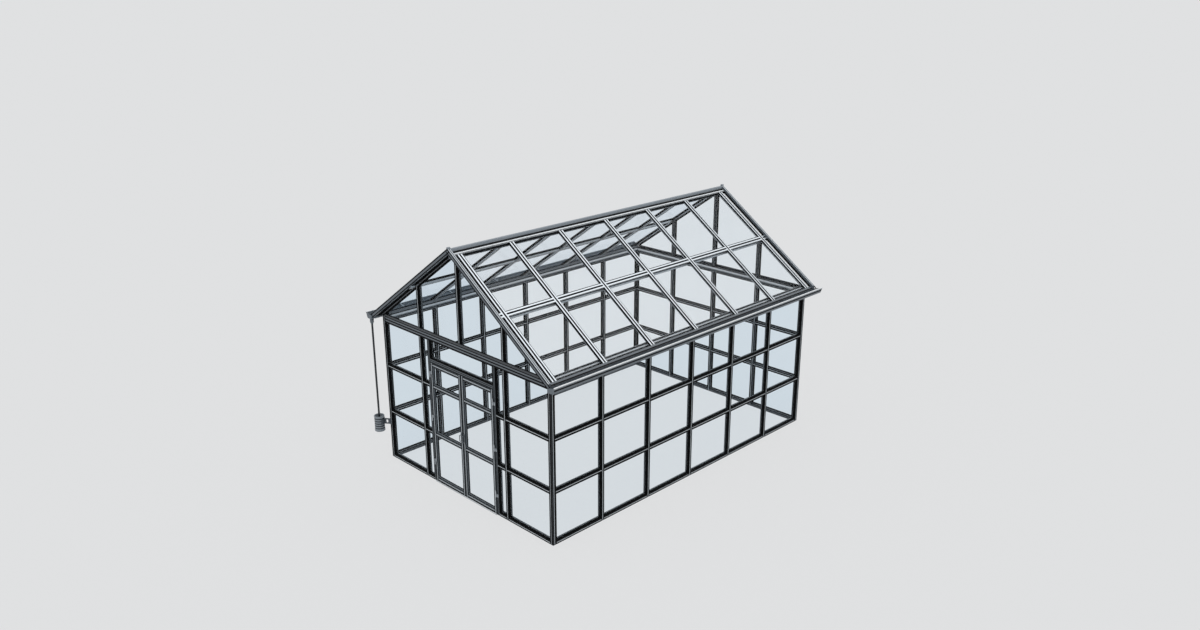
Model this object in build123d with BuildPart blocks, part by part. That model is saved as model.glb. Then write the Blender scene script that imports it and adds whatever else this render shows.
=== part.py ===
"""Glass greenhouse: an aluminium glazing-bar house on a 4 by 6 bay plan, with a pair of
hinged doors in the front gable, a 35 degree roof, gutters and a small rain pot.

Frame: X runs across the front, Y from the front wall to the rear wall, Z up from the ground.
The origin is the middle of the doorway, on the outer face of the front wall, at ground level.
Every bar is a T-shaped glazing bar: an outer cap, a nose between two panes and an inner body.
"""

import os
from math import atan2, cos, degrees, radians, tan

from build123d import *

# ---- Driving dimensions (millimetres) ----
wall_width = 4000.0  # outside faces of the two side walls
wall_length = 6000.0  # outside faces of the two gable walls
end_bay_count = 4  # bays across each gable wall
side_bay_count = 6  # bays along each side wall
row_height = 810.0  # centre to centre of the sill, the two rails and the tie beam
roof_pitch = 35.0

bar_width = 60.0  # face of a glazing bar
wall_bar_depth = 70.0
corner_width = 70.0
cap_width = 48.0
cap_depth = 16.0  # from the outer face back to the glass
cap_bevel = 3.0
nose_width = 28.0
glass_thickness = 4.0
glass_clearance = 1.0  # between the edge of a pane and the nose it stands beside

sill_height = 60.0
tie_height = 110.0
tie_groove_width = 8.0
tie_groove_depth = 6.0
rafter_depth = 52.0
roof_cap_width = 76.0  # the caps of rafters and purlins

verge_overhang = 130.0  # outer face of a barge beyond the gable wall
barge_width = 45.0
barge_depth = 70.0
barge_proud = 40.0  # above the roof plane
roof_edge_reach = 97.0  # plumb end of the roof beyond the side wall
roof_edge_width = 47.0
ridge_width = 70.0
ridge_drop = 120.0
ridge_flange = 75.0
ridge_sheet = 4.0
ridge_crest_width = 38.0
ridge_crest_height = 36.0
ridge_finial_height = 14.0

gutter_width = 150.0
gutter_depth = 100.0
gutter_back = 56.0
gutter_flare = 35.0
gutter_round = 18.0
gutter_sheet = 3.0
gutter_overhang = 150.0
pipe_diameter = 32.0
pipe_wall = 2.0
pipe_inset = 40.0  # pipe axis behind the front end of the gutter
outlet_section = 100.0  # length of the gutter piece that carries the outlet
collar_length = 55.0  # below the gutter's floor
collar_diameter = 64.0
collar_clearance = 0.3  # round the pipe

pot_diameter = 172.0
pot_height = 270.0
pot_bottom = 465.0
pot_wall = 3.0
pipe_dip = 25.0  # the pipe ends this far below the pot's rim
bracket_bottom = 590.0
bracket_height = 100.0
bracket_sheet = 4.0
bracket_foot = 36.0  # reach of the foot along each face of the post
bracket_web = 8.0
saddle_angle = 100.0
eye_width = 34.0
eye_height = 56.0

jamb_width = 60.0
jamb_centre = 790.0
head_height = 70.0
head_underside = 2045.0
threshold_height = 15.0
threshold_nose = 20.0  # in front of the wall, under the door leaves

leaf_gap = 5.0  # running clearance round each door leaf
leaf_thickness = 45.0
leaf_proud = 5.0
stile_width = 56.0
leaf_rail_height = 60.0

hinge_heights = (350.0, 1110.0, 1850.0)
hinge_radius = 8.0
hinge_pin_radius = 4.0
hinge_pin_clearance = 0.3
hinge_height = 100.0
hinge_knuckle_gap = 1.0
hinge_offset = 16.0  # pin axis in front of the wall face
hinge_plate = 3.0
hinge_plate_width = 34.0

handle_height = 1010.0
handle_plate_width = 36.0
handle_plate_height = 170.0
handle_plate_thickness = 5.0
pull_width = 14.0
pull_bar = 6.0
pull_bend = 14.0
pull_span = 110.0
pull_reach = 40.0

# ---- Values worked out from them ----
half_width = wall_width / 2
end_bay = wall_width / end_bay_count
side_bay = wall_length / side_bay_count
body_start = cap_depth + glass_thickness
half_bar = bar_width / 2
cap_step = (bar_width - cap_width) / 2
roof_cap_step = (bar_width - roof_cap_width) / 2  # negative, as the cap is the wider
rebate = (bar_width - nose_width) / 2  # how far a pane's edge can reach into a bar
pane_edge = nose_width / 2 + glass_clearance
sill_centre = sill_height / 2
rail_heights = [sill_centre + row_height, sill_centre + 2 * row_height]
tie_centre = sill_centre + 3 * row_height
tie_bottom = tie_centre - tie_height / 2
eave_height = tie_centre + tie_height / 2

pitch = radians(roof_pitch)
rafter_drop = rafter_depth / cos(pitch)
apex_height = eave_height + half_width * tan(pitch) + rafter_drop
roof_edge = half_width + roof_edge_reach
half_ridge = ridge_width / 2
barge_outer = -verge_overhang
barge_inner = barge_outer + barge_width

side_posts = [side_bay * i for i in range(1, side_bay_count)]
end_posts = [end_bay * i - half_width for i in range(1, end_bay_count)]
gable_ends = [("front", 0, 1), ("rear", wall_length, -1)]  # name, outer face, way inward
opening_half = jamb_centre - jamb_width / 2
leaf_outer = opening_half - leaf_gap
leaf_bottom = threshold_height + leaf_gap
leaf_top = head_underside - leaf_gap
hinge_x = opening_half - leaf_gap / 2
leaf_front = -leaf_proud
leaf_back = leaf_front + leaf_thickness

os.makedirs("parts", exist_ok=True)


def save(part: Part, name: str) -> None:
    """Label a finished piece and write it to its own STEP file."""
    part.label = name
    export_step(part, f"parts/{name}.step")


def roof_height(x: float, depth: float = 0.0) -> float:
    """Height of the roof plane over x, at a depth measured square to the slope."""
    return apex_height - abs(x) * tan(pitch) - depth / cos(pitch)


def bar_plane(start: Vector, along: Vector, inward: Vector) -> Plane:
    """Section plane of a bar: local Y points inward from the outer face."""
    return Plane(origin=start, x_dir=inward.cross(along), z_dir=along)


def glazing_bar(start, along, inward, length, depth=wall_bar_depth, cap_reach=0.0) -> Part:
    """One T-shaped glazing bar. Its cap may reach past both ends of its body."""
    section = bar_plane(Vector(*start), Vector(*along), Vector(*inward))
    with BuildPart() as bar:
        with BuildSketch(section):
            with Locations((0, (body_start + depth) / 2)):
                Rectangle(bar_width, depth - body_start)
            with Locations((0, cap_depth + glass_thickness / 2)):
                Rectangle(nose_width, glass_thickness)
        extrude(amount=length)
        with BuildSketch(section.offset(-cap_reach)):
            with BuildLine():
                Polyline(
                    (-cap_width / 2, cap_depth),
                    (-cap_width / 2, cap_bevel),
                    (cap_bevel - cap_width / 2, 0),
                    (cap_width / 2 - cap_bevel, 0),
                    (cap_width / 2, cap_bevel),
                    (cap_width / 2, cap_depth),
                    close=True,
                )
            make_face()
        extrude(amount=length + 2 * cap_reach)
    return bar.part


def pane(low, high) -> Part:
    """One upright pane, from its lowest to its highest corner."""
    size = [b - a for a, b in zip(low, high)]
    with BuildPart() as sheet:
        with Locations(tuple(low)):
            Box(*size, align=(Align.MIN, Align.MIN, Align.MIN))
    return sheet.part


def slope_layer(x_inner, x_outer, depth_top, depth_bottom, y_start, y_end) -> Part:
    """A slab lying in the right-hand slope, with plumb ends at x_inner and x_outer."""
    with BuildPart() as layer:
        with BuildSketch(Plane.XZ.offset(-y_start)):
            with BuildLine():
                Polyline(
                    (x_inner, roof_height(x_inner, depth_top)),
                    (x_outer, roof_height(x_outer, depth_top)),
                    (x_outer, roof_height(x_outer, depth_bottom)),
                    (x_inner, roof_height(x_inner, depth_bottom)),
                    close=True,
                )
            make_face()
        extrude(amount=-(y_end - y_start))
    return layer.part


# ---- Corner posts: square tubes rebated on both glazed faces ----
with BuildPart() as corner_posts:
    with BuildSketch(Plane.XY):
        with BuildLine():
            face = half_width
            Polyline(
                (face - corner_width + cap_step, 0),
                (face, 0),
                (face, corner_width - cap_step),
                (face - cap_depth, corner_width - cap_step),
                (face - cap_depth, corner_width - rebate),
                (face - body_start, corner_width - rebate),
                (face - body_start, corner_width),
                (face - corner_width, corner_width),
                (face - corner_width, body_start),
                (face - corner_width + rebate, body_start),
                (face - corner_width + rebate, cap_depth),
                (face - corner_width + cap_step, cap_depth),
                close=True,
            )
        make_face()
        mirror(about=Plane.YZ)
        mirror(about=Plane.XZ.offset(-wall_length / 2))
    extrude(amount=eave_height)
save(corner_posts.part, "corner_posts")


# ---- Posts between the corners ----
up = (0, 0, 1)
side_post_solids = [
    glazing_bar((side * half_width, y, 0), up, (-side, 0, 0), tie_bottom)
    for side in (-1, 1)
    for y in side_posts
]
with BuildPart() as side_wall_posts:
    add(side_post_solids)
save(side_wall_posts.part, "side_wall_posts")

front_posts = [end_posts[0], end_posts[-1]]  # the two that stand beside the doorway
front_post_solids = [glazing_bar((x, 0, 0), up, (0, 1, 0), tie_bottom) for x in front_posts]
with BuildPart() as front_wall_posts:
    add(front_post_solids)
save(front_wall_posts.part, "front_wall_posts")

rear_post_solids = [glazing_bar((x, wall_length, 0), up, (0, -1, 0), tie_bottom) for x in end_posts]
with BuildPart() as rear_wall_posts:
    add(rear_post_solids)
save(rear_wall_posts.part, "rear_wall_posts")


# ---- Rails, cut between the posts ----
def clear_bays(centres, first_edge, last_edge):
    """The clear lengths between posts, from one corner post to the other."""
    starts = [first_edge] + [c + half_bar for c in centres]
    ends = [c - half_bar for c in centres] + [last_edge]
    return list(zip(starts, ends))


side_bays = clear_bays(side_posts, corner_width, wall_length - corner_width)
end_bays = clear_bays(end_posts, corner_width - half_width, half_width - corner_width)
jamb_outer = jamb_centre + jamb_width / 2
front_bays = [
    (corner_width - half_width, front_posts[0] - half_bar),
    (front_posts[0] + half_bar, -jamb_outer),
    (jamb_outer, front_posts[1] - half_bar),
    (front_posts[1] + half_bar, half_width - corner_width),
]

side_rail_solids = [
    glazing_bar((side * half_width, y0, z), (0, 1, 0), (-side, 0, 0), y1 - y0, cap_reach=cap_step)
    for side in (-1, 1)
    for z in rail_heights
    for y0, y1 in side_bays
]
with BuildPart() as side_wall_rails:
    add(side_rail_solids)
save(side_wall_rails.part, "side_wall_rails")

rear_rail_solids = [
    glazing_bar((x0, wall_length, z), (1, 0, 0), (0, -1, 0), x1 - x0, cap_reach=cap_step)
    for z in rail_heights
    for x0, x1 in end_bays
]
with BuildPart() as rear_wall_rails:
    add(rear_rail_solids)
save(rear_wall_rails.part, "rear_wall_rails")

front_rail_solids = [
    glazing_bar((x0, 0, z), (1, 0, 0), (0, 1, 0), x1 - x0, cap_reach=cap_step)
    for z in rail_heights
    for x0, x1 in front_bays
]
with BuildPart() as front_wall_rails:
    add(front_rail_solids)
save(front_wall_rails.part, "front_wall_rails")


# ---- Sills on the ground, under every glazed bay ----
def sill_bar(start, along, inward, length) -> Part:
    """A bottom rail, rebated on its upper edge only."""
    section = bar_plane(Vector(*start), Vector(*along), Vector(*inward))
    lean = 1 if section.x_dir.Z > 0 else -1
    with BuildPart() as bar:
        with BuildSketch(section):
            with BuildLine():
                Polyline(
                    (0, 0),
                    (0, wall_bar_depth),
                    (lean * sill_height, wall_bar_depth),
                    (lean * sill_height, body_start),
                    (lean * (sill_height - rebate), body_start),
                    (lean * (sill_height - rebate), cap_depth),
                    (lean * (sill_height - cap_step), cap_depth),
                    (lean * (sill_height - cap_step), 0),
                    close=True,
                )
            make_face()
        extrude(amount=length)
    return bar.part


sill_solids = [
    sill_bar((side * half_width, y0, 0), (0, 1, 0), (-side, 0, 0), y1 - y0)
    for side in (-1, 1)
    for y0, y1 in side_bays
]
sill_solids += [sill_bar((x0, wall_length, 0), (1, 0, 0), (0, -1, 0), x1 - x0) for x0, x1 in end_bays]
sill_solids += [sill_bar((x0, 0, 0), (1, 0, 0), (0, 1, 0), x1 - x0) for x0, x1 in front_bays]
with BuildPart() as base_sills:
    add(sill_solids)
save(base_sills.part, "base_sills")


# ---- Tie beams across the gables and eave beams along the sides ----
def beam_section_points(top_inner: float):
    """Half-turn outline of a beam, from (depth, height) pairs. The top may slope inward."""
    middle = tie_height / 2
    return [
        (0, cap_step),
        (cap_depth, cap_step),
        (cap_depth, rebate),
        (body_start, rebate),
        (body_start, 0),
        (wall_bar_depth, 0),
        (wall_bar_depth, top_inner),
        (body_start, tie_height + (top_inner - tie_height) * body_start / wall_bar_depth),
        (0, tie_height),
        (0, middle + tie_groove_width / 2),
        (tie_groove_depth, middle + tie_groove_width / 2),
        (tie_groove_depth, middle - tie_groove_width / 2),
        (0, middle - tie_groove_width / 2),
    ]


with BuildPart() as eave_beams:
    with BuildSketch(Plane.XZ.offset(-corner_width)):
        with BuildLine():
            slope_rise = wall_bar_depth * tan(pitch)
            Polyline(
                *[
                    (half_width - depth, tie_bottom + height)
                    for depth, height in beam_section_points(tie_height + slope_rise)
                ],
                close=True,
            )
        make_face()
        mirror(about=Plane.YZ)
    extrude(amount=-(wall_length - 2 * corner_width))
save(eave_beams.part, "eave_beams")


for end, face, inward in gable_ends:
    with BuildPart() as tie_beam:
        with BuildSketch(Plane.YZ.offset(corner_width - half_width)):
            with Locations((face + inward * (body_start + wall_bar_depth) / 2, tie_centre)):
                Rectangle(wall_bar_depth - body_start, tie_height)
            with Locations((face + inward * (cap_depth + glass_thickness / 2), tie_centre)):
                Rectangle(glass_thickness, tie_height - 2 * rebate)
            with Locations((face + inward * cap_depth / 2, tie_centre)):
                Rectangle(cap_depth, tie_height - 2 * cap_step)
            with Locations((face + inward * tie_groove_depth / 2, tie_centre)):
                Rectangle(tie_groove_depth, tie_groove_width, mode=Mode.SUBTRACT)
        extrude(amount=wall_width - 2 * corner_width)
    save(tie_beam.part, f"{end}_tie_beam")


# ---- King post and quarter posts of each gable, cut to the slope under the rafters ----
for end, face, inward in gable_ends:
    tall_bars = [
        glazing_bar((x, face, eave_height), up, (0, inward, 0), apex_height - eave_height)
        for x in end_posts
    ]
    with BuildPart() as gable_posts:
        add(tall_bars)
        with BuildSketch(Plane.XZ.offset(-(face + inward * wall_bar_depth / 2))):
            with BuildLine():
                above_ridge = apex_height + rafter_drop
                Polyline(
                    (-half_width, roof_height(half_width, rafter_depth)),
                    (-half_ridge, roof_height(half_ridge, rafter_depth)),
                    (-half_ridge, apex_height - ridge_drop),
                    (half_ridge, apex_height - ridge_drop),
                    (half_ridge, roof_height(half_ridge, rafter_depth)),
                    (half_width, roof_height(half_width, rafter_depth)),
                    (half_width, above_ridge),
                    (-half_width, above_ridge),
                    close=True,
                )
            make_face()
        extrude(amount=wall_bar_depth, both=True, mode=Mode.SUBTRACT)
    save(gable_posts.part, f"{end}_gable_posts")


# ---- Rafters: glazing bars in the slope with plumb ends ----
rafter_foot = roof_edge - roof_edge_width
bar_layers = [
    (0, cap_depth, roof_cap_width),
    (cap_depth, body_start, nose_width),
    (body_start, rafter_depth, bar_width),
]


def rafter(y: float) -> Part:
    """One rafter of the right-hand slope, centred on y."""
    layers = [
        slope_layer(half_ridge, rafter_foot, top, bottom, y - width / 2, y + width / 2)
        for top, bottom, width in bar_layers
    ]
    with BuildPart() as bar:
        add(layers)
    return bar.part


rafter_solids = [rafter(y) for y in side_posts]
with BuildPart() as rafters:
    add(rafter_solids)
    mirror(about=Plane.YZ)
save(rafters.part, "rafters")

gable_rafter_lines = [half_bar, wall_length - half_bar]
gable_rafter_solids = [rafter(y) for y in gable_rafter_lines]
with BuildPart() as gable_rafters:
    add(gable_rafter_solids)
    mirror(about=Plane.YZ)
save(gable_rafters.part, "gable_rafters")


# ---- Purlins, cut between the rafters and carried out to the barges ----
purlin_centre = (half_ridge + rafter_foot) / 2
purlin_lines = [gable_rafter_lines[0]] + side_posts + [gable_rafter_lines[1]]
purlin_bays = [(barge_inner, purlin_lines[0] - half_bar)]
purlin_bays += [(a + half_bar, b - half_bar) for a, b in zip(purlin_lines, purlin_lines[1:])]
purlin_bays += [(purlin_lines[-1] + half_bar, wall_length - barge_inner)]


def purlin(y0: float, y1: float, first_reach: float, last_reach: float) -> Part:
    """One length of purlin on the right-hand slope. Its cap meets the caps of the rafters."""
    layers = []
    for top, bottom, width in bar_layers:
        half_plan = width / 2 * cos(pitch)
        y_start = y0 - (first_reach if top == 0 else 0)
        y_end = y1 + (last_reach if top == 0 else 0)
        inner, outer = purlin_centre - half_plan, purlin_centre + half_plan
        layers.append(slope_layer(inner, outer, top, bottom, y_start, y_end))
    with BuildPart() as bar:
        add(layers)
    return bar.part


last_bay = len(purlin_bays) - 1
purlin_solids = [
    purlin(y0, y1, 0 if i == 0 else roof_cap_step, 0 if i == last_bay else roof_cap_step)
    for i, (y0, y1) in enumerate(purlin_bays)
]
with BuildPart() as purlins:
    add(purlin_solids)
    mirror(about=Plane.YZ)
save(purlins.part, "purlins")


# ---- Roof edge rails at the rafters' feet ----
edge_rail = slope_layer(
    rafter_foot, roof_edge, 0, rafter_depth, barge_inner, wall_length - barge_inner
)
with BuildPart() as roof_edge_rails:
    add(edge_rail)
    mirror(about=Plane.YZ)
save(roof_edge_rails.part, "roof_edge_rails")


# ---- Barges along the verges ----
with BuildPart() as right_barges:
    with BuildSketch(Plane.XZ.offset(-barge_outer)):
        with BuildLine():
            low = barge_depth - barge_proud
            Polyline(
                (0, roof_height(0, -barge_proud)),
                (roof_edge, roof_height(roof_edge, -barge_proud)),
                (roof_edge, roof_height(roof_edge, low)),
                (0, roof_height(0, low)),
                close=True,
            )
        make_face()
    extrude(amount=-barge_width)
    mirror(about=Plane.XZ.offset(-wall_length / 2))
save(right_barges.part, "right_barges")
with BuildPart() as left_barges:
    add(mirror(right_barges.part, about=Plane.YZ, mode=Mode.PRIVATE))
save(left_barges.part, "left_barges")


# ---- Ridge ----
with BuildPart() as ridge_beam:
    with BuildSketch(Plane.XZ.offset(-barge_inner)):
        with BuildLine():
            Polyline(
                (0, apex_height),
                (half_ridge, roof_height(half_ridge)),
                (half_ridge, apex_height - ridge_drop),
                (-half_ridge, apex_height - ridge_drop),
                (-half_ridge, roof_height(half_ridge)),
                close=True,
            )
        make_face()
    extrude(amount=-(wall_length - 2 * barge_inner))
save(ridge_beam.part, "ridge_beam")

with BuildPart() as ridge_cap:
    crest_top = apex_height + ridge_crest_height
    half_crest = ridge_crest_width / 2
    with BuildSketch(Plane.XZ.offset(-barge_inner)):
        with BuildLine():
            Polyline(
                (0, apex_height),
                (ridge_flange, roof_height(ridge_flange)),
                (ridge_flange, roof_height(ridge_flange, -ridge_sheet)),
                (half_crest, roof_height(half_crest, -ridge_sheet)),
                (half_crest, crest_top),
                (-half_crest, crest_top),
                (-half_crest, roof_height(half_crest, -ridge_sheet)),
                (-ridge_flange, roof_height(ridge_flange, -ridge_sheet)),
                (-ridge_flange, roof_height(ridge_flange)),
                close=True,
            )
        make_face()
        fillet(vertices().group_by(Axis.Y)[-1], radius=half_crest / 2)
    extrude(amount=-(wall_length - 2 * barge_inner))
save(ridge_cap.part, "ridge_cap")

with BuildPart() as ridge_end_caps:
    barge_apex = roof_height(0, -barge_proud)
    with BuildSketch(Plane.XZ.offset(-barge_outer)):
        with BuildLine():
            Polyline(
                (0, barge_apex),
                (half_crest, barge_apex - half_crest * tan(pitch)),
                (half_crest, barge_apex + ridge_finial_height),
                (-half_crest, barge_apex + ridge_finial_height),
                (-half_crest, barge_apex - half_crest * tan(pitch)),
                close=True,
            )
        make_face()
        fillet(vertices().group_by(Axis.Y)[-1], radius=half_crest / 2)
    extrude(amount=-barge_width)
    mirror(about=Plane.XZ.offset(-wall_length / 2))
save(ridge_end_caps.part, "ridge_end_caps")


# ---- Doorway: jambs, head and threshold ----
with BuildPart() as door_jambs:
    with BuildSketch(Plane.XY):
        with BuildLine():
            Polyline(
                (opening_half, 0),
                (jamb_outer - cap_step, 0),
                (jamb_outer - cap_step, cap_depth),
                (jamb_outer - rebate, cap_depth),
                (jamb_outer - rebate, body_start),
                (jamb_outer, body_start),
                (jamb_outer, wall_bar_depth),
                (opening_half, wall_bar_depth),
                close=True,
            )
        make_face()
        mirror(about=Plane.YZ)
    extrude(amount=tie_bottom)
save(door_jambs.part, "door_jambs")

with BuildPart() as door_head:
    head_top = head_underside + head_height
    with BuildSketch(Plane.YZ.offset(-opening_half)):
        with BuildLine():
            Polyline(
                (0, head_underside),
                (wall_bar_depth, head_underside),
                (wall_bar_depth, head_top),
                (body_start, head_top),
                (body_start, head_top - rebate),
                (cap_depth, head_top - rebate),
                (cap_depth, head_top - cap_step),
                (0, head_top - cap_step),
                close=True,
            )
        make_face()
    extrude(amount=2 * opening_half)
save(door_head.part, "door_head")

with BuildPart() as door_threshold:
    with BuildSketch(Plane.YZ.offset(-opening_half)):
        with BuildLine():
            ramp = threshold_height / 2
            Polyline(
                (-threshold_nose, 0),
                (wall_bar_depth, 0),
                (wall_bar_depth, ramp),
                (wall_bar_depth - ramp, threshold_height),
                (ramp - threshold_nose, threshold_height),
                (-threshold_nose, ramp),
                close=True,
            )
        make_face()
    extrude(amount=2 * opening_half)
save(door_threshold.part, "door_threshold")


# ---- Wall glass ----
bite = rebate - glass_clearance
glass_rows = [
    (sill_centre + pane_edge, rail_heights[0] - pane_edge),
    (rail_heights[0] + pane_edge, rail_heights[1] - pane_edge),
    (rail_heights[1] + pane_edge, tie_bottom + bite),
]


def wall_panes(bays, face, inward, along_x) -> list:
    """Every pane of one wall, each reaching into the rebates round it."""
    panes = []
    outer = face + inward * cap_depth
    inner = face + inward * body_start
    near, far = min(outer, inner), max(outer, inner)
    for start, end in bays:
        for low, high in glass_rows:
            if along_x:
                panes.append(pane((start - bite, near, low), (end + bite, far, high)))
            else:
                panes.append(pane((near, start - bite, low), (far, end + bite, high)))
    return panes


left_panes = wall_panes(side_bays, -half_width, 1, along_x=False)
with BuildPart() as left_wall_glass:
    add(left_panes)
save(left_wall_glass.part, "left_wall_glass")

right_panes = wall_panes(side_bays, half_width, -1, along_x=False)
with BuildPart() as right_wall_glass:
    add(right_panes)
save(right_wall_glass.part, "right_wall_glass")

rear_panes = wall_panes(end_bays, wall_length, -1, along_x=True)
with BuildPart() as rear_wall_glass:
    add(rear_panes)
save(rear_wall_glass.part, "rear_wall_glass")

transom_pane = pane(
    (-opening_half, cap_depth, head_top - bite),
    (opening_half, body_start, tie_bottom + bite),
)
front_panes = wall_panes(front_bays, 0, 1, along_x=True)
with BuildPart() as front_wall_glass:
    add(front_panes)
    add(transom_pane)
save(front_wall_glass.part, "front_wall_glass")


# ---- Gable glass between the tie beam, the gable posts and the rafters ----
for end, face, inward in gable_ends:
    with BuildPart() as gable_glass:
        with BuildSketch(Plane.XZ.offset(-(face + inward * cap_depth))):
            with BuildLine():
                pane_foot = eave_height - bite
                outer_start = end_bay + pane_edge
                outer_end = half_width - corner_width
                Polyline(
                    (outer_start, pane_foot),
                    (outer_end, pane_foot),
                    (outer_end, roof_height(outer_end, rafter_depth)),
                    (outer_start, roof_height(outer_start, rafter_depth)),
                    close=True,
                )
            make_face()
            with BuildLine():
                inner_end = end_bay - pane_edge
                Polyline(
                    (pane_edge, pane_foot),
                    (inner_end, pane_foot),
                    (inner_end, roof_height(inner_end, rafter_depth)),
                    (half_ridge, roof_height(half_ridge, rafter_depth)),
                    (half_ridge, apex_height - ridge_drop),
                    (pane_edge, apex_height - ridge_drop),
                    close=True,
                )
            make_face()
            mirror(about=Plane.YZ)
        extrude(amount=-inward * glass_thickness)
    save(gable_glass.part, f"{end}_gable_glass")


# ---- Roof glass: an upper and a lower pane in each bay, and narrow strips at the verges ----
pane_rows = [
    (half_ridge, purlin_centre - pane_edge * cos(pitch)),
    (purlin_centre + pane_edge * cos(pitch), rafter_foot),
]
roof_lines = [(barge_inner, gable_rafter_lines[0] - pane_edge)]
roof_lines += [(a + pane_edge, b - pane_edge) for a, b in zip(purlin_lines, purlin_lines[1:])]
roof_lines += [(gable_rafter_lines[1] + pane_edge, wall_length - barge_inner)]
roof_pane_solids = [
    slope_layer(x0, x1, cap_depth, body_start, y0, y1) for y0, y1 in roof_lines for x0, x1 in pane_rows
]
with BuildPart() as right_roof_glass:
    add(roof_pane_solids)
save(right_roof_glass.part, "right_roof_glass")
with BuildPart() as left_roof_glass:
    add(mirror(roof_pane_solids, about=Plane.YZ, mode=Mode.PRIVATE))
save(left_roof_glass.part, "left_roof_glass")


# ---- Gutters. The front end of the left one is a separate outlet piece ----
gutter_floor = roof_height(roof_edge, rafter_depth)
gutter_start = -gutter_overhang
gutter_end = wall_length + gutter_overhang
outlet_end = gutter_start + outlet_section
gutter_path = [  # from the back upstand to the flared outer lip, on the right-hand side
    (roof_edge, gutter_floor + gutter_back),
    (roof_edge, gutter_floor),
    (roof_edge + gutter_width - gutter_flare, gutter_floor),
    (roof_edge + gutter_width, gutter_floor + gutter_depth),
]
pipe_x = -(roof_edge + (gutter_width - gutter_flare) / 2)
pipe_y = gutter_start + pipe_inset


def gutter_length(y_start: float, y_end: float, stop_ends: list) -> Part:
    """A length of right-hand gutter, closed by a plate that starts at each of stop_ends."""
    with BuildPart() as trough:
        with BuildSketch(Plane.XZ.offset(-y_start)):
            with BuildLine():
                FilletPolyline(*gutter_path, radius=gutter_round)
                offset(amount=gutter_sheet, side=Side.LEFT)
            make_face()
        extrude(amount=-(y_end - y_start))
        for y in stop_ends:
            with BuildSketch(Plane.XZ.offset(-y)):
                with BuildLine():
                    end_edge = FilletPolyline(*gutter_path, radius=gutter_round)
                    Line(end_edge @ 1, end_edge @ 0)
                make_face()
            extrude(amount=-gutter_sheet)
    return trough.part


rear_stop = gutter_end - gutter_sheet
right_trough = gutter_length(gutter_start, gutter_end, [gutter_start, rear_stop])
with BuildPart() as right_gutter:
    add(right_trough)
save(right_gutter.part, "right_gutter")

left_trough = gutter_length(outlet_end, gutter_end, [rear_stop])
with BuildPart() as left_gutter:
    add(mirror(left_trough, about=Plane.YZ, mode=Mode.PRIVATE))
save(left_gutter.part, "left_gutter")

outlet_trough = gutter_length(gutter_start, outlet_end, [gutter_start])
with BuildPart() as gutter_outlet:
    add(mirror(outlet_trough, about=Plane.YZ, mode=Mode.PRIVATE))
    with BuildSketch(Plane.XY.offset(gutter_floor - collar_length)):
        with Locations((pipe_x, pipe_y)):
            Circle(collar_diameter / 2)
    extrude(amount=collar_length)
    with BuildSketch(Plane.XY.offset(gutter_floor - collar_length)):
        with Locations((pipe_x, pipe_y)):
            Circle(pipe_diameter / 2 + collar_clearance)
    extrude(amount=collar_length + gutter_sheet, mode=Mode.SUBTRACT)
save(gutter_outlet.part, "gutter_outlet")


# ---- Downpipe, rain pot and its bracket ----
pot_rim = pot_bottom + pot_height
pipe_bottom = pot_rim - pipe_dip
pipe_top = gutter_floor + gutter_sheet

with BuildPart() as downpipe:
    with BuildSketch(Plane.XY.offset(pipe_bottom)):
        with Locations((pipe_x, pipe_y)):
            Circle(pipe_diameter / 2)
            Circle(pipe_diameter / 2 - pipe_wall, mode=Mode.SUBTRACT)
    extrude(amount=pipe_top - pipe_bottom)
save(downpipe.part, "downpipe")

with BuildPart() as rain_pot:
    with BuildSketch(Plane.XY.offset(pot_bottom)):
        with Locations((pipe_x, pipe_y)):
            Circle(pot_diameter / 2)
    extrude(amount=pot_height)
    with BuildSketch(Plane.XY.offset(pot_bottom + pot_wall)):
        with Locations((pipe_x, pipe_y)):
            Circle(pot_diameter / 2 - pot_wall)
    extrude(amount=pot_height, mode=Mode.SUBTRACT)
save(rain_pot.part, "rain_pot")

# The bracket's foot wraps the corner post, its eyed web points at the pot, a saddle holds the pot.
post_corner = Vector(-half_width, 0)
web_way = (Vector(pipe_x, pipe_y) - post_corner).normalized()
web_end = Vector(pipe_x, pipe_y) - web_way * (pot_diameter / 2)
web_middle = (post_corner + web_end) / 2
web_angle = degrees(atan2(web_way.Y, web_way.X))
with BuildPart() as pot_bracket:
    with BuildSketch(Plane.XY.offset(bracket_bottom)):
        with BuildLine():
            Polyline(
                (post_corner.X + bracket_foot, post_corner.Y),
                (post_corner.X, post_corner.Y),
                (post_corner.X, post_corner.Y + bracket_foot),
            )
            offset(amount=bracket_sheet, side=Side.LEFT)
        make_face()
        with Locations((post_corner + web_end) / 2):
            Rectangle((web_end - post_corner).length, bracket_web, rotation=web_angle)
        with BuildLine():
            saddle_start = web_angle + 180 - saddle_angle / 2
            CenterArc((pipe_x, pipe_y), pot_diameter / 2, saddle_start, saddle_angle)
            offset(amount=bracket_sheet, side=Side.RIGHT)
        make_face()
        with Locations((pipe_x, pipe_y)):
            Circle(pot_diameter / 2, mode=Mode.SUBTRACT)
    extrude(amount=bracket_height)
    eye_centre = (web_middle.X, web_middle.Y, bracket_bottom + bracket_height / 2)
    with BuildSketch(Plane(eye_centre, x_dir=(0, 0, 1), z_dir=(-web_way.Y, web_way.X, 0))):
        SlotOverall(eye_height, eye_width)
    extrude(amount=bracket_web, both=True, mode=Mode.SUBTRACT)
save(pot_bracket.part, "pot_bracket")


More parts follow.
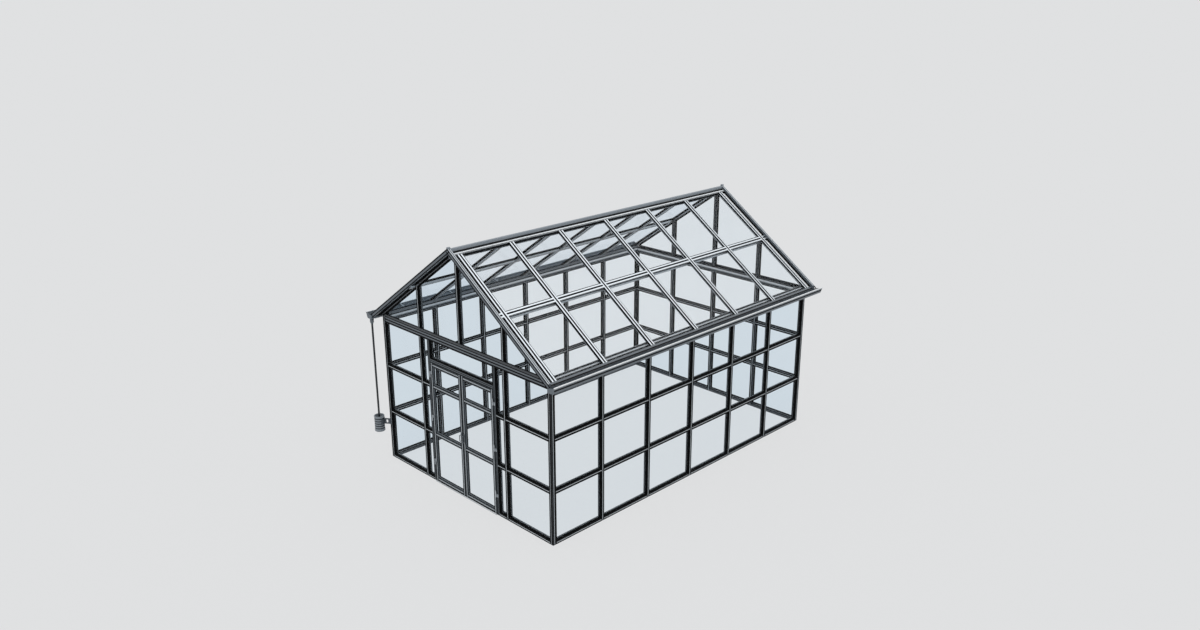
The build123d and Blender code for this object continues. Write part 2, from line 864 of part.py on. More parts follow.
# ---- Door leaves. Each is made on the right and mirrored for the left ----
def leaf_stiles() -> Part:
    """Hinge stile and meeting stile of the right-hand leaf."""
    with BuildPart() as stiles:
        with BuildSketch(Plane.XY.offset(leaf_bottom)):
            for x in (leaf_gap + stile_width / 2, leaf_outer - stile_width / 2):
                with Locations((x, (leaf_front + leaf_back) / 2)):
                    Rectangle(stile_width, leaf_thickness)
        extrude(amount=leaf_top - leaf_bottom)
    return stiles.part


leaf_rail_centres = [
    leaf_bottom + leaf_rail_height / 2,
    rail_heights[0],
    rail_heights[1],
    leaf_top - leaf_rail_height / 2,
]


def leaf_rails() -> Part:
    """Bottom, lock, middle and top rails of the right-hand leaf, between its stiles."""
    with BuildPart() as rails:
        with BuildSketch(Plane.YZ.offset(leaf_gap + stile_width)):
            with Locations(*[((leaf_front + leaf_back) / 2, z) for z in leaf_rail_centres]):
                Rectangle(leaf_thickness, leaf_rail_height)
        extrude(amount=leaf_outer - leaf_gap - 2 * stile_width)
    return rails.part


def leaf_panes() -> list:
    """Three panes of the right-hand leaf, held between the rails and stiles."""
    middle = (leaf_front + leaf_back) / 2
    return [
        pane(
            (leaf_gap + stile_width, middle - glass_thickness / 2, low + leaf_rail_height / 2),
            (leaf_outer - stile_width, middle + glass_thickness / 2, high - leaf_rail_height / 2),
        )
        for low, high in zip(leaf_rail_centres, leaf_rail_centres[1:])
    ]


def pull_handle() -> Part:
    """Face plate and flat-bar pull on the meeting stile of the right-hand leaf."""
    x = leaf_gap + stile_width / 2
    plate_face = leaf_front - handle_plate_thickness
    pull_low = handle_height - pull_span / 2
    pull_high = handle_height + pull_span / 2
    with BuildPart() as handle:
        with BuildSketch(Plane.XZ.offset(-leaf_front)):
            with Locations((x, handle_height)):
                Rectangle(handle_plate_width, handle_plate_height)
            chamfer(vertices(), length=handle_plate_thickness)
        extrude(amount=handle_plate_thickness)
        with BuildSketch(Plane.YZ.offset(x - pull_width / 2)):
            with BuildLine():
                FilletPolyline(
                    (plate_face, pull_low),
                    (plate_face - pull_reach, pull_low),
                    (plate_face - pull_reach, pull_high),
                    (plate_face, pull_high),
                    radius=pull_bend,
                )
                offset(amount=pull_bar, side=Side.RIGHT)
            make_face()
        extrude(amount=pull_width)
    return handle.part


def hinge_barrel(low: float, high: float, plate_side: float) -> Part:
    """One knuckle with its plate. plate_side is 1 for the jamb and -1 for the leaf."""
    back = 0 if plate_side > 0 else leaf_front
    web = leaf_gap / 2
    with BuildPart() as barrel:
        with BuildSketch(Plane.XY.offset(low)):
            with Locations((hinge_x, -hinge_offset)):
                Circle(hinge_radius)
            with Locations((hinge_x + plate_side * (web + hinge_radius) / 2, (back - hinge_offset) / 2)):
                Rectangle(hinge_radius - web, back + hinge_offset)
            with Locations((hinge_x + plate_side * (web + hinge_plate_width / 2), back - hinge_plate / 2)):
                Rectangle(hinge_plate_width, hinge_plate)
            if plate_side < 0:
                with Locations((hinge_x, -hinge_offset)):
                    Circle(hinge_pin_radius + hinge_pin_clearance, mode=Mode.SUBTRACT)
        extrude(amount=high - low)
    return barrel.part


def jamb_hinge_set() -> Part:
    """Lower knuckles with their pins, on the right-hand jamb."""
    barrels = [hinge_barrel(z - hinge_height / 2, z, 1) for z in hinge_heights]
    with BuildPart() as knuckles:
        add(barrels)
        for z in hinge_heights:
            with BuildSketch(Plane.XY.offset(z)):
                with Locations((hinge_x, -hinge_offset)):
                    Circle(hinge_pin_radius)
            extrude(amount=hinge_height / 2)
    return knuckles.part


def leaf_hinge_set() -> list:
    """Upper knuckles, which drop over the pins, on the right-hand leaf."""
    return [hinge_barrel(z + hinge_knuckle_gap, z + hinge_height / 2, -1) for z in hinge_heights]


right_leaf = {
    "stiles": leaf_stiles(),
    "rails": leaf_rails(),
    "glass": leaf_panes(),
    "handle": pull_handle(),
    "hinges": leaf_hinge_set(),
}
for piece, solids in right_leaf.items():
    with BuildPart() as right_piece:
        add(solids)
    save(right_piece.part, f"right_door_{piece}")
    with BuildPart() as left_piece:
        add(mirror(solids, about=Plane.YZ, mode=Mode.PRIVATE))
    save(left_piece.part, f"left_door_{piece}")

right_jamb_knuckles = jamb_hinge_set()
with BuildPart() as jamb_hinges:
    add(right_jamb_knuckles)
    mirror(about=Plane.YZ)
save(jamb_hinges.part, "jamb_hinges")
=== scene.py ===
"""Looks of the glass greenhouse: finishes, glazing rubbers, small fittings, studio and camera.

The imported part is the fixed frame, and every piece made here is placed from its nodes.
Lengths are in metres unless a name ends in _mm. Lines are a start, an end and the way they face.
"""

from __future__ import annotations

import sys

import logging
import math
from collections.abc import Callable, Iterable
from dataclasses import dataclass
from enum import Enum
from typing import ClassVar

import bmesh
import bpy
from mathutils import Matrix, Vector


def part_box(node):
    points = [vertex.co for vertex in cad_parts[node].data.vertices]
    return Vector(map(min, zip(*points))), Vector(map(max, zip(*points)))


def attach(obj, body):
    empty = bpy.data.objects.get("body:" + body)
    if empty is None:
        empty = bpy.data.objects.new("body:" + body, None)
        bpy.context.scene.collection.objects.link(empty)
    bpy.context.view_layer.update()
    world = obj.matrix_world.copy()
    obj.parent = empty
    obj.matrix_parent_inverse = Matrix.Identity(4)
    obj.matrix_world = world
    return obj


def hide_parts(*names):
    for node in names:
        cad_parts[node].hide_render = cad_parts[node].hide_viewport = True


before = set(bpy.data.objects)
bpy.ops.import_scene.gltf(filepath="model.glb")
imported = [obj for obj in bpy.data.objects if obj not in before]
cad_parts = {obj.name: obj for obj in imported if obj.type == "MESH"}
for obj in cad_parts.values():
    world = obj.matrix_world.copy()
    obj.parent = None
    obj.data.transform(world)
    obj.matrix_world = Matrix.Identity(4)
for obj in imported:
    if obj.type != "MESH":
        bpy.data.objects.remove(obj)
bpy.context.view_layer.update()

LOG = logging.getLogger("greenhouse")
ROOF_PITCH = math.radians(35.0)

# Reading faces: merging, flatness, and how near in depth two faces lie together.
MERGE_DISTANCE = 0.00002
FLAT_ANGLE = math.radians(1.0)
SAME_DEPTH = 0.0005

# The cosines of facing one way for a bar's face, for a pane's and for a lip's top, and of lying along it.
SAME_WAY = 0.9999
PANE_WAY = 0.999
TOP_WAY = 0.9
SIDE_WAY = 0.1

# Strips: the pattern's length, the shortest face that gets one, and how far short of its ends it stops.
PATTERN_LENGTH = 0.002
SHORTEST_FACE = 0.04
END_GAP = 0.001

# The share of a rubber's smaller side that its lip is chamfered by, and the shading's sharp angle.
LIP_BEVEL = 0.35
SMOOTH_ANGLE = math.radians(35.0)

# The bars' depth through the wall, the right gutter's flare, the hinges' middles and their screws.
WALL_BAR = 0.070
FLARE_OUT = (0.9439, 0.0, -0.3304)
HINGE_HEIGHTS = (0.350, 1.110, 1.850)
HINGE_SCREWS = (0.014, 0.037)

WHITE = (1.0, 1.0, 1.0, 1.0)
POLYMER_IOR = 1.5
UP = Vector((0.0, 0.0, 1.0))
DOWN = Vector((0.0, 0.0, -1.0))
SIGNS = (-1.0, 1.0)

Piece = bpy.types.Object
Tree = bpy.types.NodeTree
Socket = bpy.types.NodeSocket
Point = tuple[float, float, float] | Vector
Line = tuple[Point, Point, Point]
Pairs = list[tuple[float, float]]


# ---- Directions ----


class Facing(Enum):
    """The way a wall, gable or roof slope faces, as a unit vector out of the house."""

    LEFT = (-1.0, 0.0, 0.0)
    RIGHT = (1.0, 0.0, 0.0)
    FRONT = (0.0, -1.0, 0.0)
    REAR = (0.0, 1.0, 0.0)
    LEFT_SLOPE = (-math.sin(ROOF_PITCH), 0.0, math.cos(ROOF_PITCH))
    RIGHT_SLOPE = (math.sin(ROOF_PITCH), 0.0, math.cos(ROOF_PITCH))

    @property
    def out(self) -> Vector:
        """Give the direction as a vector."""
        return Vector(self.value)


class Grain(Enum):
    """The direction that a bar was drawn in, as the pattern's stretch along X, Y and Z."""

    ALONG_X = (0.02, 1.0, 1.0)
    ALONG_Y = (1.0, 0.02, 1.0)
    ALONG_Z = (1.0, 1.0, 0.02)
    ALL_ROUND = (1.0, 1.0, 1.0)


WALLS = {
    "side_wall": (Facing.LEFT, Facing.RIGHT),
    "front_wall": (Facing.FRONT,),
    "rear_wall": (Facing.REAR,),
}
ALL_ROUND_HOUSE = (Facing.LEFT, Facing.RIGHT, Facing.FRONT, Facing.REAR)
SLOPES = (Facing.LEFT_SLOPE, Facing.RIGHT_SLOPE)
LEAF_FACES = (("outer", Facing.FRONT.out), ("inner", Facing.REAR.out))


# ---- Selecting and shaping ----


def deselect_all() -> None:
    """Deselect every object."""
    bpy.ops.object.select_all(action="DESELECT")


def make_active(piece: Piece) -> None:
    """Select one object alone and make it the active one.

    Args:
        piece: The object that the next operators act on.
    """
    deselect_all()
    piece.select_set(True)
    bpy.context.view_layer.objects.active = piece


def select_mesh(action: str = "SELECT") -> None:
    """Select all of the edited mesh, or deselect or invert it."""
    bpy.ops.mesh.select_all(action=action)


def open_mesh(piece: Piece, kind: str = "FACE") -> None:
    """Enter edit mode on a piece with nothing selected.

    Args:
        piece: The object to edit.
        kind: The element to select by: VERT, EDGE or FACE.
    """
    make_active(piece)
    bpy.ops.object.mode_set(mode="EDIT")
    bpy.ops.mesh.select_mode(type=kind)
    select_mesh("DESELECT")


def close_mesh(outward: bool = True) -> None:
    """Leave edit mode.

    Args:
        outward: Whether every face is first turned outwards.
    """
    if outward:
        select_mesh()
        bpy.ops.mesh.normals_make_consistent(inside=False)
    bpy.ops.object.mode_set(mode="OBJECT")


def pick(
    piece: Piece, kind: str, wanted: Callable[[bmesh.types.BMFace | bmesh.types.BMEdge], bool]
) -> None:
    """Select the faces or the edges that pass a test and no others, in edit mode.

    Args:
        piece: The object being edited.
        kind: FACE or EDGE.
        wanted: The test, given each of them.
    """
    bpy.ops.mesh.select_mode(type=kind)
    mesh = bmesh.from_edit_mesh(piece.data)
    parts = mesh.faces if kind == "FACE" else mesh.edges
    for part in parts:
        part.select_set(False)
    for part in parts:
        if wanted(part):
            part.select_set(True)
    bmesh.update_edit_mesh(piece.data)


def apply_place(piece: Piece) -> None:
    """Move an object's place, turn and size into its mesh."""
    make_active(piece)
    bpy.ops.object.transform_apply(location=True, rotation=True, scale=True)


def join_pieces(parts: list[Piece], name: str) -> Piece:
    """Join objects into one piece.

    Args:
        parts: The objects, each with its own mesh.
        name: The name of the piece.

    Returns:
        The joined object.
    """
    deselect_all()
    for part in parts:
        part.select_set(True)
    bpy.context.view_layer.objects.active = parts[0]
    if len(parts) > 1:
        bpy.ops.object.join()
    piece = bpy.context.view_layer.objects.active
    piece.name = piece.data.name = name
    return piece


def copy_to(source: Piece, place: Matrix, length: float = 0.0) -> Piece:
    """Copy a pattern piece with its own mesh, drawn out along its X axis and put in place.

    Args:
        source: The pattern piece, modelled about the origin with its length along X.
        place: The matrix that carries the pattern to its place.
        length: How much each copy is drawn out between its two ends.

    Returns:
        The copy.
    """
    mesh = source.data.copy()
    for vertex in mesh.vertices:
        vertex.co.x += math.copysign(length / 2, vertex.co.x)
    mesh.transform(place)
    if place.determinant() < 0:
        mesh.flip_normals()
    piece = bpy.data.objects.new(source.name, mesh)
    bpy.context.scene.collection.objects.link(piece)
    return piece


def axes_at(origin: Vector, along: Vector, out: Vector) -> Matrix:
    """Give the matrix at a point whose X runs along and whose Z points out."""
    turn = Matrix((along, out.cross(along), out)).transposed().to_4x4()
    return Matrix.Translation(origin) @ turn


def turn_to(place: Point, out: Vector) -> Matrix:
    """Give the matrix that stands a turned pattern on a face, with Z out of it."""
    return axes_at(Vector(place), out.orthogonal().normalized(), out)


def laid(source: Piece, start: Point, end: Point, out: Point) -> Piece:
    """Copy an extruded pattern from one point to another.

    Args:
        source: The pattern.
        start: Where its length starts.
        end: Where its length ends.
        out: The direction of its Z axis.

    Returns:
        The copy.
    """
    start, end, out = Vector(start), Vector(end), Vector(out)
    along = (end - start).normalized()
    out = (out - along * out.dot(along)).normalized()
    return copy_to(source, axes_at((start + end) / 2, along, out), (end - start).length - PATTERN_LENGTH)


def block(low: Point, high: Point, bevel: float) -> Piece:
    """Model a plate or bar between two corners, with its edges rounded.

    Args:
        low: The lowest corner.
        high: The highest corner.
        bevel: The width of the rounding.

    Returns:
        The block.
    """
    low, high = Vector(low), Vector(high)
    deselect_all()
    bpy.ops.mesh.primitive_cube_add(size=1.0, location=(low + high) / 2)
    piece = bpy.context.object
    piece.scale = high - low
    apply_place(piece)
    open_mesh(piece)
    select_mesh()
    bpy.ops.mesh.bevel(offset=bevel, segments=2, affect="EDGES")
    close_mesh(outward=False)
    return piece


def drawn_line(points: Iterable[Point]) -> Piece:
    """Draw a chain of edges from point to point, left open in edit mode with all of it selected.

    Args:
        points: The points in order.

    Returns:
        The object, in edit mode.
    """
    chain = list(points)
    deselect_all()
    bpy.ops.mesh.primitive_plane_add(size=0.01)
    piece = bpy.context.object
    open_mesh(piece, "VERT")
    select_mesh()
    bpy.ops.mesh.merge(type="CENTER")
    bpy.ops.transform.translate(value=chain[0])
    for before, after in zip(chain, chain[1:]):
        step = tuple(b - a for a, b in zip(before, after))
        bpy.ops.mesh.extrude_vertices_move(TRANSFORM_OT_translate={"value": step})
    select_mesh()
    return piece


def extrusion(section: Pairs) -> Piece:
    """Extrude a closed section along X, centred on the origin, as a short pattern to draw out.

    Args:
        section: The section's corners as pairs across (Y) and out (Z).

    Returns:
        The pattern.
    """
    piece = drawn_line((-PATTERN_LENGTH / 2, across, out) for across, out in section)
    bpy.ops.mesh.edge_face_add()
    bpy.ops.mesh.extrude_region_move(TRANSFORM_OT_translate={"value": (PATTERN_LENGTH, 0.0, 0.0)})
    close_mesh()
    return piece


def turned(section: Pairs, steps: int) -> Piece:
    """Spin a half section round the Z axis at the origin.

    Args:
        section: Pairs of radius and height, closed on the axis or on its own first point.
        steps: The number of facets round it.

    Returns:
        The turned shape.
    """
    piece = drawn_line((radius, 0.0, height) for radius, height in section)
    bpy.ops.mesh.spin(steps=steps, angle=math.tau, center=(0.0, 0.0, 0.0), axis=(0.0, 0.0, 1.0))
    select_mesh()
    bpy.ops.mesh.remove_doubles(threshold=MERGE_DISTANCE)
    close_mesh()
    return piece


# ---- Reading the frame ----


@dataclass(frozen=True)
class Run:
    """A straight flat face of a bar, on which a strip or a row of fixings lies.

    Attributes:
        centre: The middle of the face.
        along: The unit direction of its length.
        out: The unit direction that it faces.
        length: Its length.
        width: Its width.
    """

    centre: Vector
    along: Vector
    out: Vector
    length: float
    width: float


def flat_runs(node: str, out: Vector, depth: float | None = None) -> list[Run]:
    """Find the flat faces of a node's bars that look one way at one depth.

    Args:
        node: The node's name.
        out: The direction that the faces look.
        depth: How far out they lie, or None for the outermost.

    Returns:
        One run for each face, from the lowest corner on.
    """
    mesh = bmesh.new()
    mesh.from_mesh(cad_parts[node].data)
    bmesh.ops.remove_doubles(mesh, verts=mesh.verts, dist=MERGE_DISTANCE)
    bmesh.ops.dissolve_limit(mesh, angle_limit=FLAT_ANGLE, verts=mesh.verts, edges=mesh.edges)
    facing = [f for f in mesh.faces if f.normal.dot(out) > SAME_WAY]
    if depth is None:
        depth = max((f.calc_center_median().dot(out) for f in facing), default=0.0)
    runs = []
    for face in facing:
        if abs(depth - face.calc_center_median().dot(out)) > SAME_DEPTH:
            continue
        longest = max(face.edges, key=lambda e: e.calc_length())
        along = (longest.verts[1].co - longest.verts[0].co).normalized()
        # A skew direction gives every run the same sense, whichever way its edge was stored.
        if along.dot(Vector((0.31, 0.53, 0.79))) < 0:
            along.negate()
        across = out.cross(along)
        reach = [v.co.dot(along) for v in face.verts]
        spread = [v.co.dot(across) for v in face.verts]
        centre = along * (min(reach) + max(reach)) / 2 + across * (min(spread) + max(spread)) / 2
        centre += out * face.verts[0].co.dot(out)
        runs.append(Run(centre, along, out.copy(), max(reach) - min(reach), max(spread) - min(spread)))
    mesh.free()
    return sorted(runs, key=lambda r: tuple(round(c, 4) for c in r.centre))


# ---- Materials ----


def srgb(code: str) -> tuple[float, float, float, float]:
    """Turn an sRGB hex value into a linear colour.

    Args:
        code: Six hex digits after a #.

    Returns:
        Linear red, green, blue and an alpha of 1.
    """
    levels = [int(code[i : i + 2], 16) / 255 for i in (1, 3, 5)]
    linear = [c / 12.92 if c <= 0.04045 else ((c + 0.055) / 1.055) ** 2.4 for c in levels]
    return (*linear, 1.0)


def add_node(
    tree: Tree,
    kind: str,
    values: dict[str | int, object] | None = None,
    links: dict[str | int, Socket] | None = None,
    **settings: object,
) -> bpy.types.Node:
    """Add a shader node with its settings, constants and links.

    Args:
        tree: The node tree.
        kind: The node's type name after ShaderNode.
        values: Constants for input sockets, by name or index.
        links: Output sockets that feed input sockets, by name or index.
        **settings: Properties set on the node.

    Returns:
        The node.
    """
    node = tree.nodes.new(f"ShaderNode{kind}")
    for key, value in settings.items():
        setattr(node, key, value)
    for key, value in (values or {}).items():
        node.inputs[key].default_value = value
    for key, socket in (links or {}).items():
        tree.links.new(socket, node.inputs[key])
    return node


def drawn_place(tree: Tree, grain: Grain = Grain.ALL_ROUND) -> Socket:
    """Give object coordinates stretched along a bar's drawing direction."""
    place = add_node(tree, "TexCoord").outputs["Object"]
    return add_node(tree, "Mapping", {"Scale": grain.value}, {"Vector": place}).outputs["Vector"]


@dataclass(frozen=True)
class Finish:
    """A named finish with two colours.

    Attributes:
        name: The material's name.
        base: Its main colour.
        shade: The colour that its pattern or its slant blends in.
    """

    name: str
    base: str
    shade: str

    def surface(self, tree: Tree) -> Socket:
        """Add the finish's nodes and give its shader."""
        raise NotImplementedError

    def material(self) -> bpy.types.Material:
        """Build the node material.

        Returns:
            The material.
        """
        material = bpy.data.materials.new(self.name)
        material.use_nodes = True
        tree = material.node_tree
        tree.nodes.clear()
        add_node(tree, "OutputMaterial", links={"Surface": self.surface(tree)})
        return material


@dataclass(frozen=True)
class SolidFinish(Finish):
    """A finish of an opaque surface, patterned in colour, roughness and relief.

    Attributes:
        RELIEF: How strong the surface's relief is, and how high.
        SWING: How far the relief's pattern shifts the roughness.
        roughness: The mean roughness.
    """

    RELIEF: ClassVar[tuple[float, float]]
    SWING: ClassVar[float] = 0.0
    roughness: float

    def skin(
        self,
        tree: Tree,
        colours: tuple[str, str],
        patterns: tuple[bpy.types.Node, bpy.types.Node],
        values: dict[str, float],
    ) -> Socket:
        """Shade the surface by two patterns.

        Args:
            tree: The node tree.
            colours: The colours at the first pattern's two ends.
            patterns: What blends the colours, and what lifts and dulls the surface.
            values: The surface's other constants.

        Returns:
            The shader.
        """
        blend, ripple = (pattern.outputs["Fac"] for pattern in patterns)
        ends = {"A": srgb(colours[0]), "B": srgb(colours[1])}
        colour = add_node(tree, "Mix", ends, {"Factor": blend}, data_type="RGBA")
        strength, height = self.RELIEF
        bump = add_node(tree, "Bump", {"Strength": strength, "Distance": height}, {"Height": ripple})
        links = {"Base Color": colour.outputs["Result"], "Normal": bump.outputs["Normal"]}
        if self.SWING:
            span = {"To Min": self.roughness - self.SWING, "To Max": self.roughness + self.SWING}
            links["Roughness"] = add_node(tree, "MapRange", span, {"Value": ripple}).outputs["Result"]
        values = {"Roughness": self.roughness, **values}
        return add_node(tree, "BsdfPrincipled", values, links).outputs[0]


@dataclass(frozen=True)
class CoatedMetal(SolidFinish):
    """Aluminium extrusion under a polyester powder coat, sprayed dry and baked.

    The eye gets a satin skin with a fine orange-peel ripple and a barely uneven shade.

    Attributes:
        roughness: The coat's mean roughness.
        ripple_mm: The spacing of the orange-peel ripple, drawn coarser than the real 1 mm.
        mottle_mm: The size of the soft shade variation.
    """

    RELIEF = (0.12, 0.0004)
    SWING = 0.06
    roughness: float = 0.42
    ripple_mm: float = 4.0
    mottle_mm: float = 350.0

    def surface(self, tree: Tree) -> Socket:
        """Add the coat's nodes.

        Args:
            tree: The node tree.

        Returns:
            The shader.
        """
        place = {"Vector": drawn_place(tree)}
        mottle = {"Scale": 1000 / self.mottle_mm, "Detail": 3.0, "Roughness": 0.55}
        ripple = {"Scale": 1000 / self.ripple_mm, "Detail": 2.0}
        patterns = tuple(add_node(tree, "TexNoise", values, place) for values in (mottle, ripple))
        return self.skin(tree, (self.base, self.shade), patterns, {"IOR": POLYMER_IOR})


@dataclass(frozen=True)
class DrawnMetal(SolidFinish):
    """Bare or anodised metal with the fine lines of the die or the brush that it passed.

    The eye gets a soft metallic sheen broken into long faint streaks along the piece.

    Attributes:
        roughness: The mean roughness.
        grain: The direction that the streaks run.
        line_mm: The spacing of the lines, drawn coarser than the real 0.3 mm.
    """

    RELIEF = (0.1, 0.0003)
    SWING = 0.08
    roughness: float = 0.40
    grain: Grain = Grain.ALL_ROUND
    line_mm: float = 3.0

    def surface(self, tree: Tree) -> Socket:
        """Add the metal's nodes.

        Args:
            tree: The node tree.

        Returns:
            The shader.
        """
        values = {"Scale": 1000 / self.line_mm, "Detail": 3.0, "Roughness": 0.6}
        lines = add_node(tree, "TexNoise", values, {"Vector": drawn_place(tree, self.grain)})
        return self.skin(tree, (self.shade, self.base), (lines, lines), {"Metallic": 1.0})


@dataclass(frozen=True)
class MouldedPolymer(SolidFinish):
    """Extruded rubber or moulded nylon, matt and dark.

    The eye gets a soft dull line with a faint bloom and no hard highlight.

    Attributes:
        roughness: The roughness.
        grit_mm: The size of its surface grit, drawn coarser than the real 0.2 mm.
        shine: The level of its mirrored light.
    """

    RELIEF = (0.2, 0.0002)
    roughness: float = 0.62
    grit_mm: float = 2.0
    shine: float = 0.10

    def surface(self, tree: Tree) -> Socket:
        """Add the polymer's nodes.

        Args:
            tree: The node tree.

        Returns:
            The shader.
        """
        values = {"Scale": 1000 / self.grit_mm, "Detail": 4.0, "Roughness": 0.6}
        grit = add_node(tree, "TexNoise", values, {"Vector": drawn_place(tree)})
        values = {"IOR": POLYMER_IOR, "Specular IOR Level": self.shine}
        return self.skin(tree, (self.base, self.shade), (grit, grit), values)


@dataclass(frozen=True)
class FloatGlass(Finish):
    """Clear toughened float glass, drawn flat on molten tin.

    The eye sees through it with a faint cool tint, and it mirrors more the flatter it is seen.
    Its base is what each of a pane's two faces passes seen face on, and its shade edge on.

    Attributes:
        least_mirror: The share that it mirrors face on.
        rise: How much that share grows towards the edge-on view.
        roughness: The roughness of its polish.
        wave_mm: The length of the faint roller wave left by toughening.
    """

    least_mirror: float = 0.006
    rise: float = 0.05
    roughness: float = 0.05
    wave_mm: float = 260.0

    def surface(self, tree: Tree) -> Socket:
        """Add the glass's nodes, clear to the light of lamps and walls.

        Args:
            tree: The node tree.

        Returns:
            The shader.
        """
        wave = add_node(
            tree, "TexNoise", {"Scale": 1000 / self.wave_mm, "Detail": 1.0}, {"Vector": drawn_place(tree)}
        )
        bump = add_node(tree, "Bump", {"Strength": 0.05, "Distance": 0.002}, {"Height": wave.outputs["Fac"]})
        facing = add_node(tree, "LayerWeight", {"Blend": 0.5}).outputs["Facing"]
        steep = add_node(tree, "Math", {1: 5.0}, {0: facing}, operation="POWER").outputs[0]
        ramp = {1: self.rise, 2: self.least_mirror}
        share = add_node(tree, "Math", ramp, {0: steep}, operation="MULTIPLY_ADD").outputs[0]
        ends = {"A": srgb(self.base), "B": srgb(self.shade)}
        passed = add_node(tree, "Mix", ends, {"Factor": steep}, data_type="RGBA").outputs["Result"]
        clear = add_node(tree, "BsdfTransparent", links={"Color": passed}).outputs[0]
        polish = add_node(
            tree,
            "BsdfGlossy",
            {"Color": WHITE, "Roughness": self.roughness},
            {"Normal": bump.outputs["Normal"]},
        ).outputs[0]
        pane = add_node(tree, "MixShader", links={0: share, 1: clear, 2: polish}).outputs[0]
        rays = add_node(tree, "LightPath").outputs
        unseen = {0: rays["Is Shadow Ray"], 1: rays["Is Diffuse Ray"]}
        lamp_or_bounce = add_node(tree, "Math", links=unseen, operation="MAXIMUM").outputs[0]
        open_air = add_node(tree, "BsdfTransparent", {"Color": WHITE}).outputs[0]
        return add_node(tree, "MixShader", links={0: lamp_or_bounce, 1: pane, 2: open_air}).outputs[0]


# ---- Finishes of this house ----

# The slate coats below are lit and shaded copies of one powder coat, as painted light and shade: darkest on
# the wall bars, lighter on the doors, beams and gutters, lightest on the ridge crest on top.
SLATE_BAR = CoatedMetal("powder_coated_slate_bar", "#3C4349", "#343A40")
SLATE_BEAM = CoatedMetal("powder_coated_slate_beam", "#5F676E", "#565D64")
SLATE_DOOR = CoatedMetal("powder_coated_slate_door_bar", "#555D64", "#4C5359")
SLATE_GUTTER = CoatedMetal("powder_coated_slate_gutter", "#636B72", "#596168")
PAINTED_LIGHT_CREST = CoatedMetal("ridge_crest_painted_light", "#858D95", "#7A828A")
# A near-white line down the middle of the bars' dark faces: a painted highlight.
CAP_HIGHLIGHT_LINE = CoatedMetal("cap_line_painted_highlight", "#B9C0C5", "#ADB4B9")
# A pale line down the middle of the wall bars' inner faces: a painted highlight.
INNER_FACE_HIGHLIGHT = CoatedMetal("inner_line_painted_highlight", "#B5BCC2", "#A9B0B6")
DARK_TRIM = CoatedMetal("powder_coated_dark_trim", "#33393F", "#2B3036")
# Near-white lip beads and lines on the gutters and roof edges: painted highlights.
HIGHLIGHT_LIP = CoatedMetal("lip_painted_highlight", "#EEF1F3", "#E2E6E9")
# Pale strips on the beams, barges and roof bars: painted highlights.
HIGHLIGHT_TRIM = CoatedMetal("trim_painted_highlight", "#C4CBD1", "#B6BEC5", roughness=0.36)
# The ridge cap is near-white as the lit top of the roof: a painted highlight.
HIGHLIGHT_FLANGE = CoatedMetal("ridge_flange_painted_highlight", "#DDE2E6", "#D0D6DA", roughness=0.36)
GRAPHITE_PIPE = CoatedMetal("powder_coated_graphite_pipe", "#1B1F24", "#15191D")
GRAPHITE_POT = CoatedMetal("powder_coated_graphite_pot", "#848C93", "#787F86", roughness=0.5)
DARK_HANDLE = CoatedMetal("powder_coated_graphite_handle", "#4A5158", "#41474E", roughness=0.4)
PALE_RAFTER = DrawnMetal("anodised_drawn_rafter", "#C2C8CD", "#B4BABF")
PALE_PURLIN = DrawnMetal("anodised_drawn_purlin", "#C2C8CD", "#B4BABF", 0.40, Grain.ALONG_Y)
MILL_THRESHOLD = DrawnMetal("mill_finish_drawn_threshold", "#B9BDC0", "#9A9EA2", 0.42, Grain.ALONG_X)
BRUSHED_STEEL = DrawnMetal("brushed_stainless_fitting", "#C3C8CC", "#A2A7AC", 0.32, Grain.ALONG_Z)
WALL_GLASS = FloatGlass("toughened_wall_glass", "#FAFDFF", "#F0F7FD")
ROOF_GLASS = FloatGlass("toughened_roof_glass", "#FFFFFF", "#E2EFF9")
RUBBER = MouldedPolymer("extruded_epdm_rubber", "#020304", "#06080A")
STRIP = MouldedPolymer("extruded_nylon_strip", "#06080B", "#0C0F13", roughness=0.5)

WALL_BARS = ("posts", "rails")
LEAVES = ("left_door", "right_door")
NODE_FINISHES: dict[Finish, tuple[str, ...]] = {
    SLATE_BAR: (
        *(f"{wall}_{bar}" for wall in WALLS for bar in WALL_BARS),
        "corner_posts",
        "base_sills",
        "front_gable_posts",
        "rear_gable_posts",
    ),
    SLATE_BEAM: (
        "eave_beams",
        "front_tie_beam",
        "rear_tie_beam",
        "roof_edge_rails",
        "left_barges",
        "right_barges",
        "ridge_beam",
    ),
    PALE_RAFTER: ("rafters", "gable_rafters"),
    PALE_PURLIN: ("purlins",),
    HIGHLIGHT_FLANGE: ("ridge_cap",),
    PAINTED_LIGHT_CREST: ("ridge_end_caps",),
    SLATE_DOOR: (
        *(f"{leaf}_{bar}" for leaf in LEAVES for bar in ("stiles", "rails")),
        "door_jambs",
        "door_head",
    ),
    MILL_THRESHOLD: ("door_threshold",),
    WALL_GLASS: (
        *(f"{side}_wall_glass" for side in ("left", "right", "rear", "front")),
        "front_gable_glass",
        "rear_gable_glass",
        *(f"{leaf}_glass" for leaf in LEAVES),
    ),
    ROOF_GLASS: ("left_roof_glass", "right_roof_glass"),
    SLATE_GUTTER: ("left_gutter", "right_gutter", "gutter_outlet"),
    GRAPHITE_PIPE: ("downpipe",),
    GRAPHITE_POT: ("rain_pot",),
    DARK_HANDLE: ("pot_bracket", *(f"{leaf}_handle" for leaf in LEAVES)),
    BRUSHED_STEEL: ("jamb_hinges", *(f"{leaf}_hinges" for leaf in LEAVES)),
}


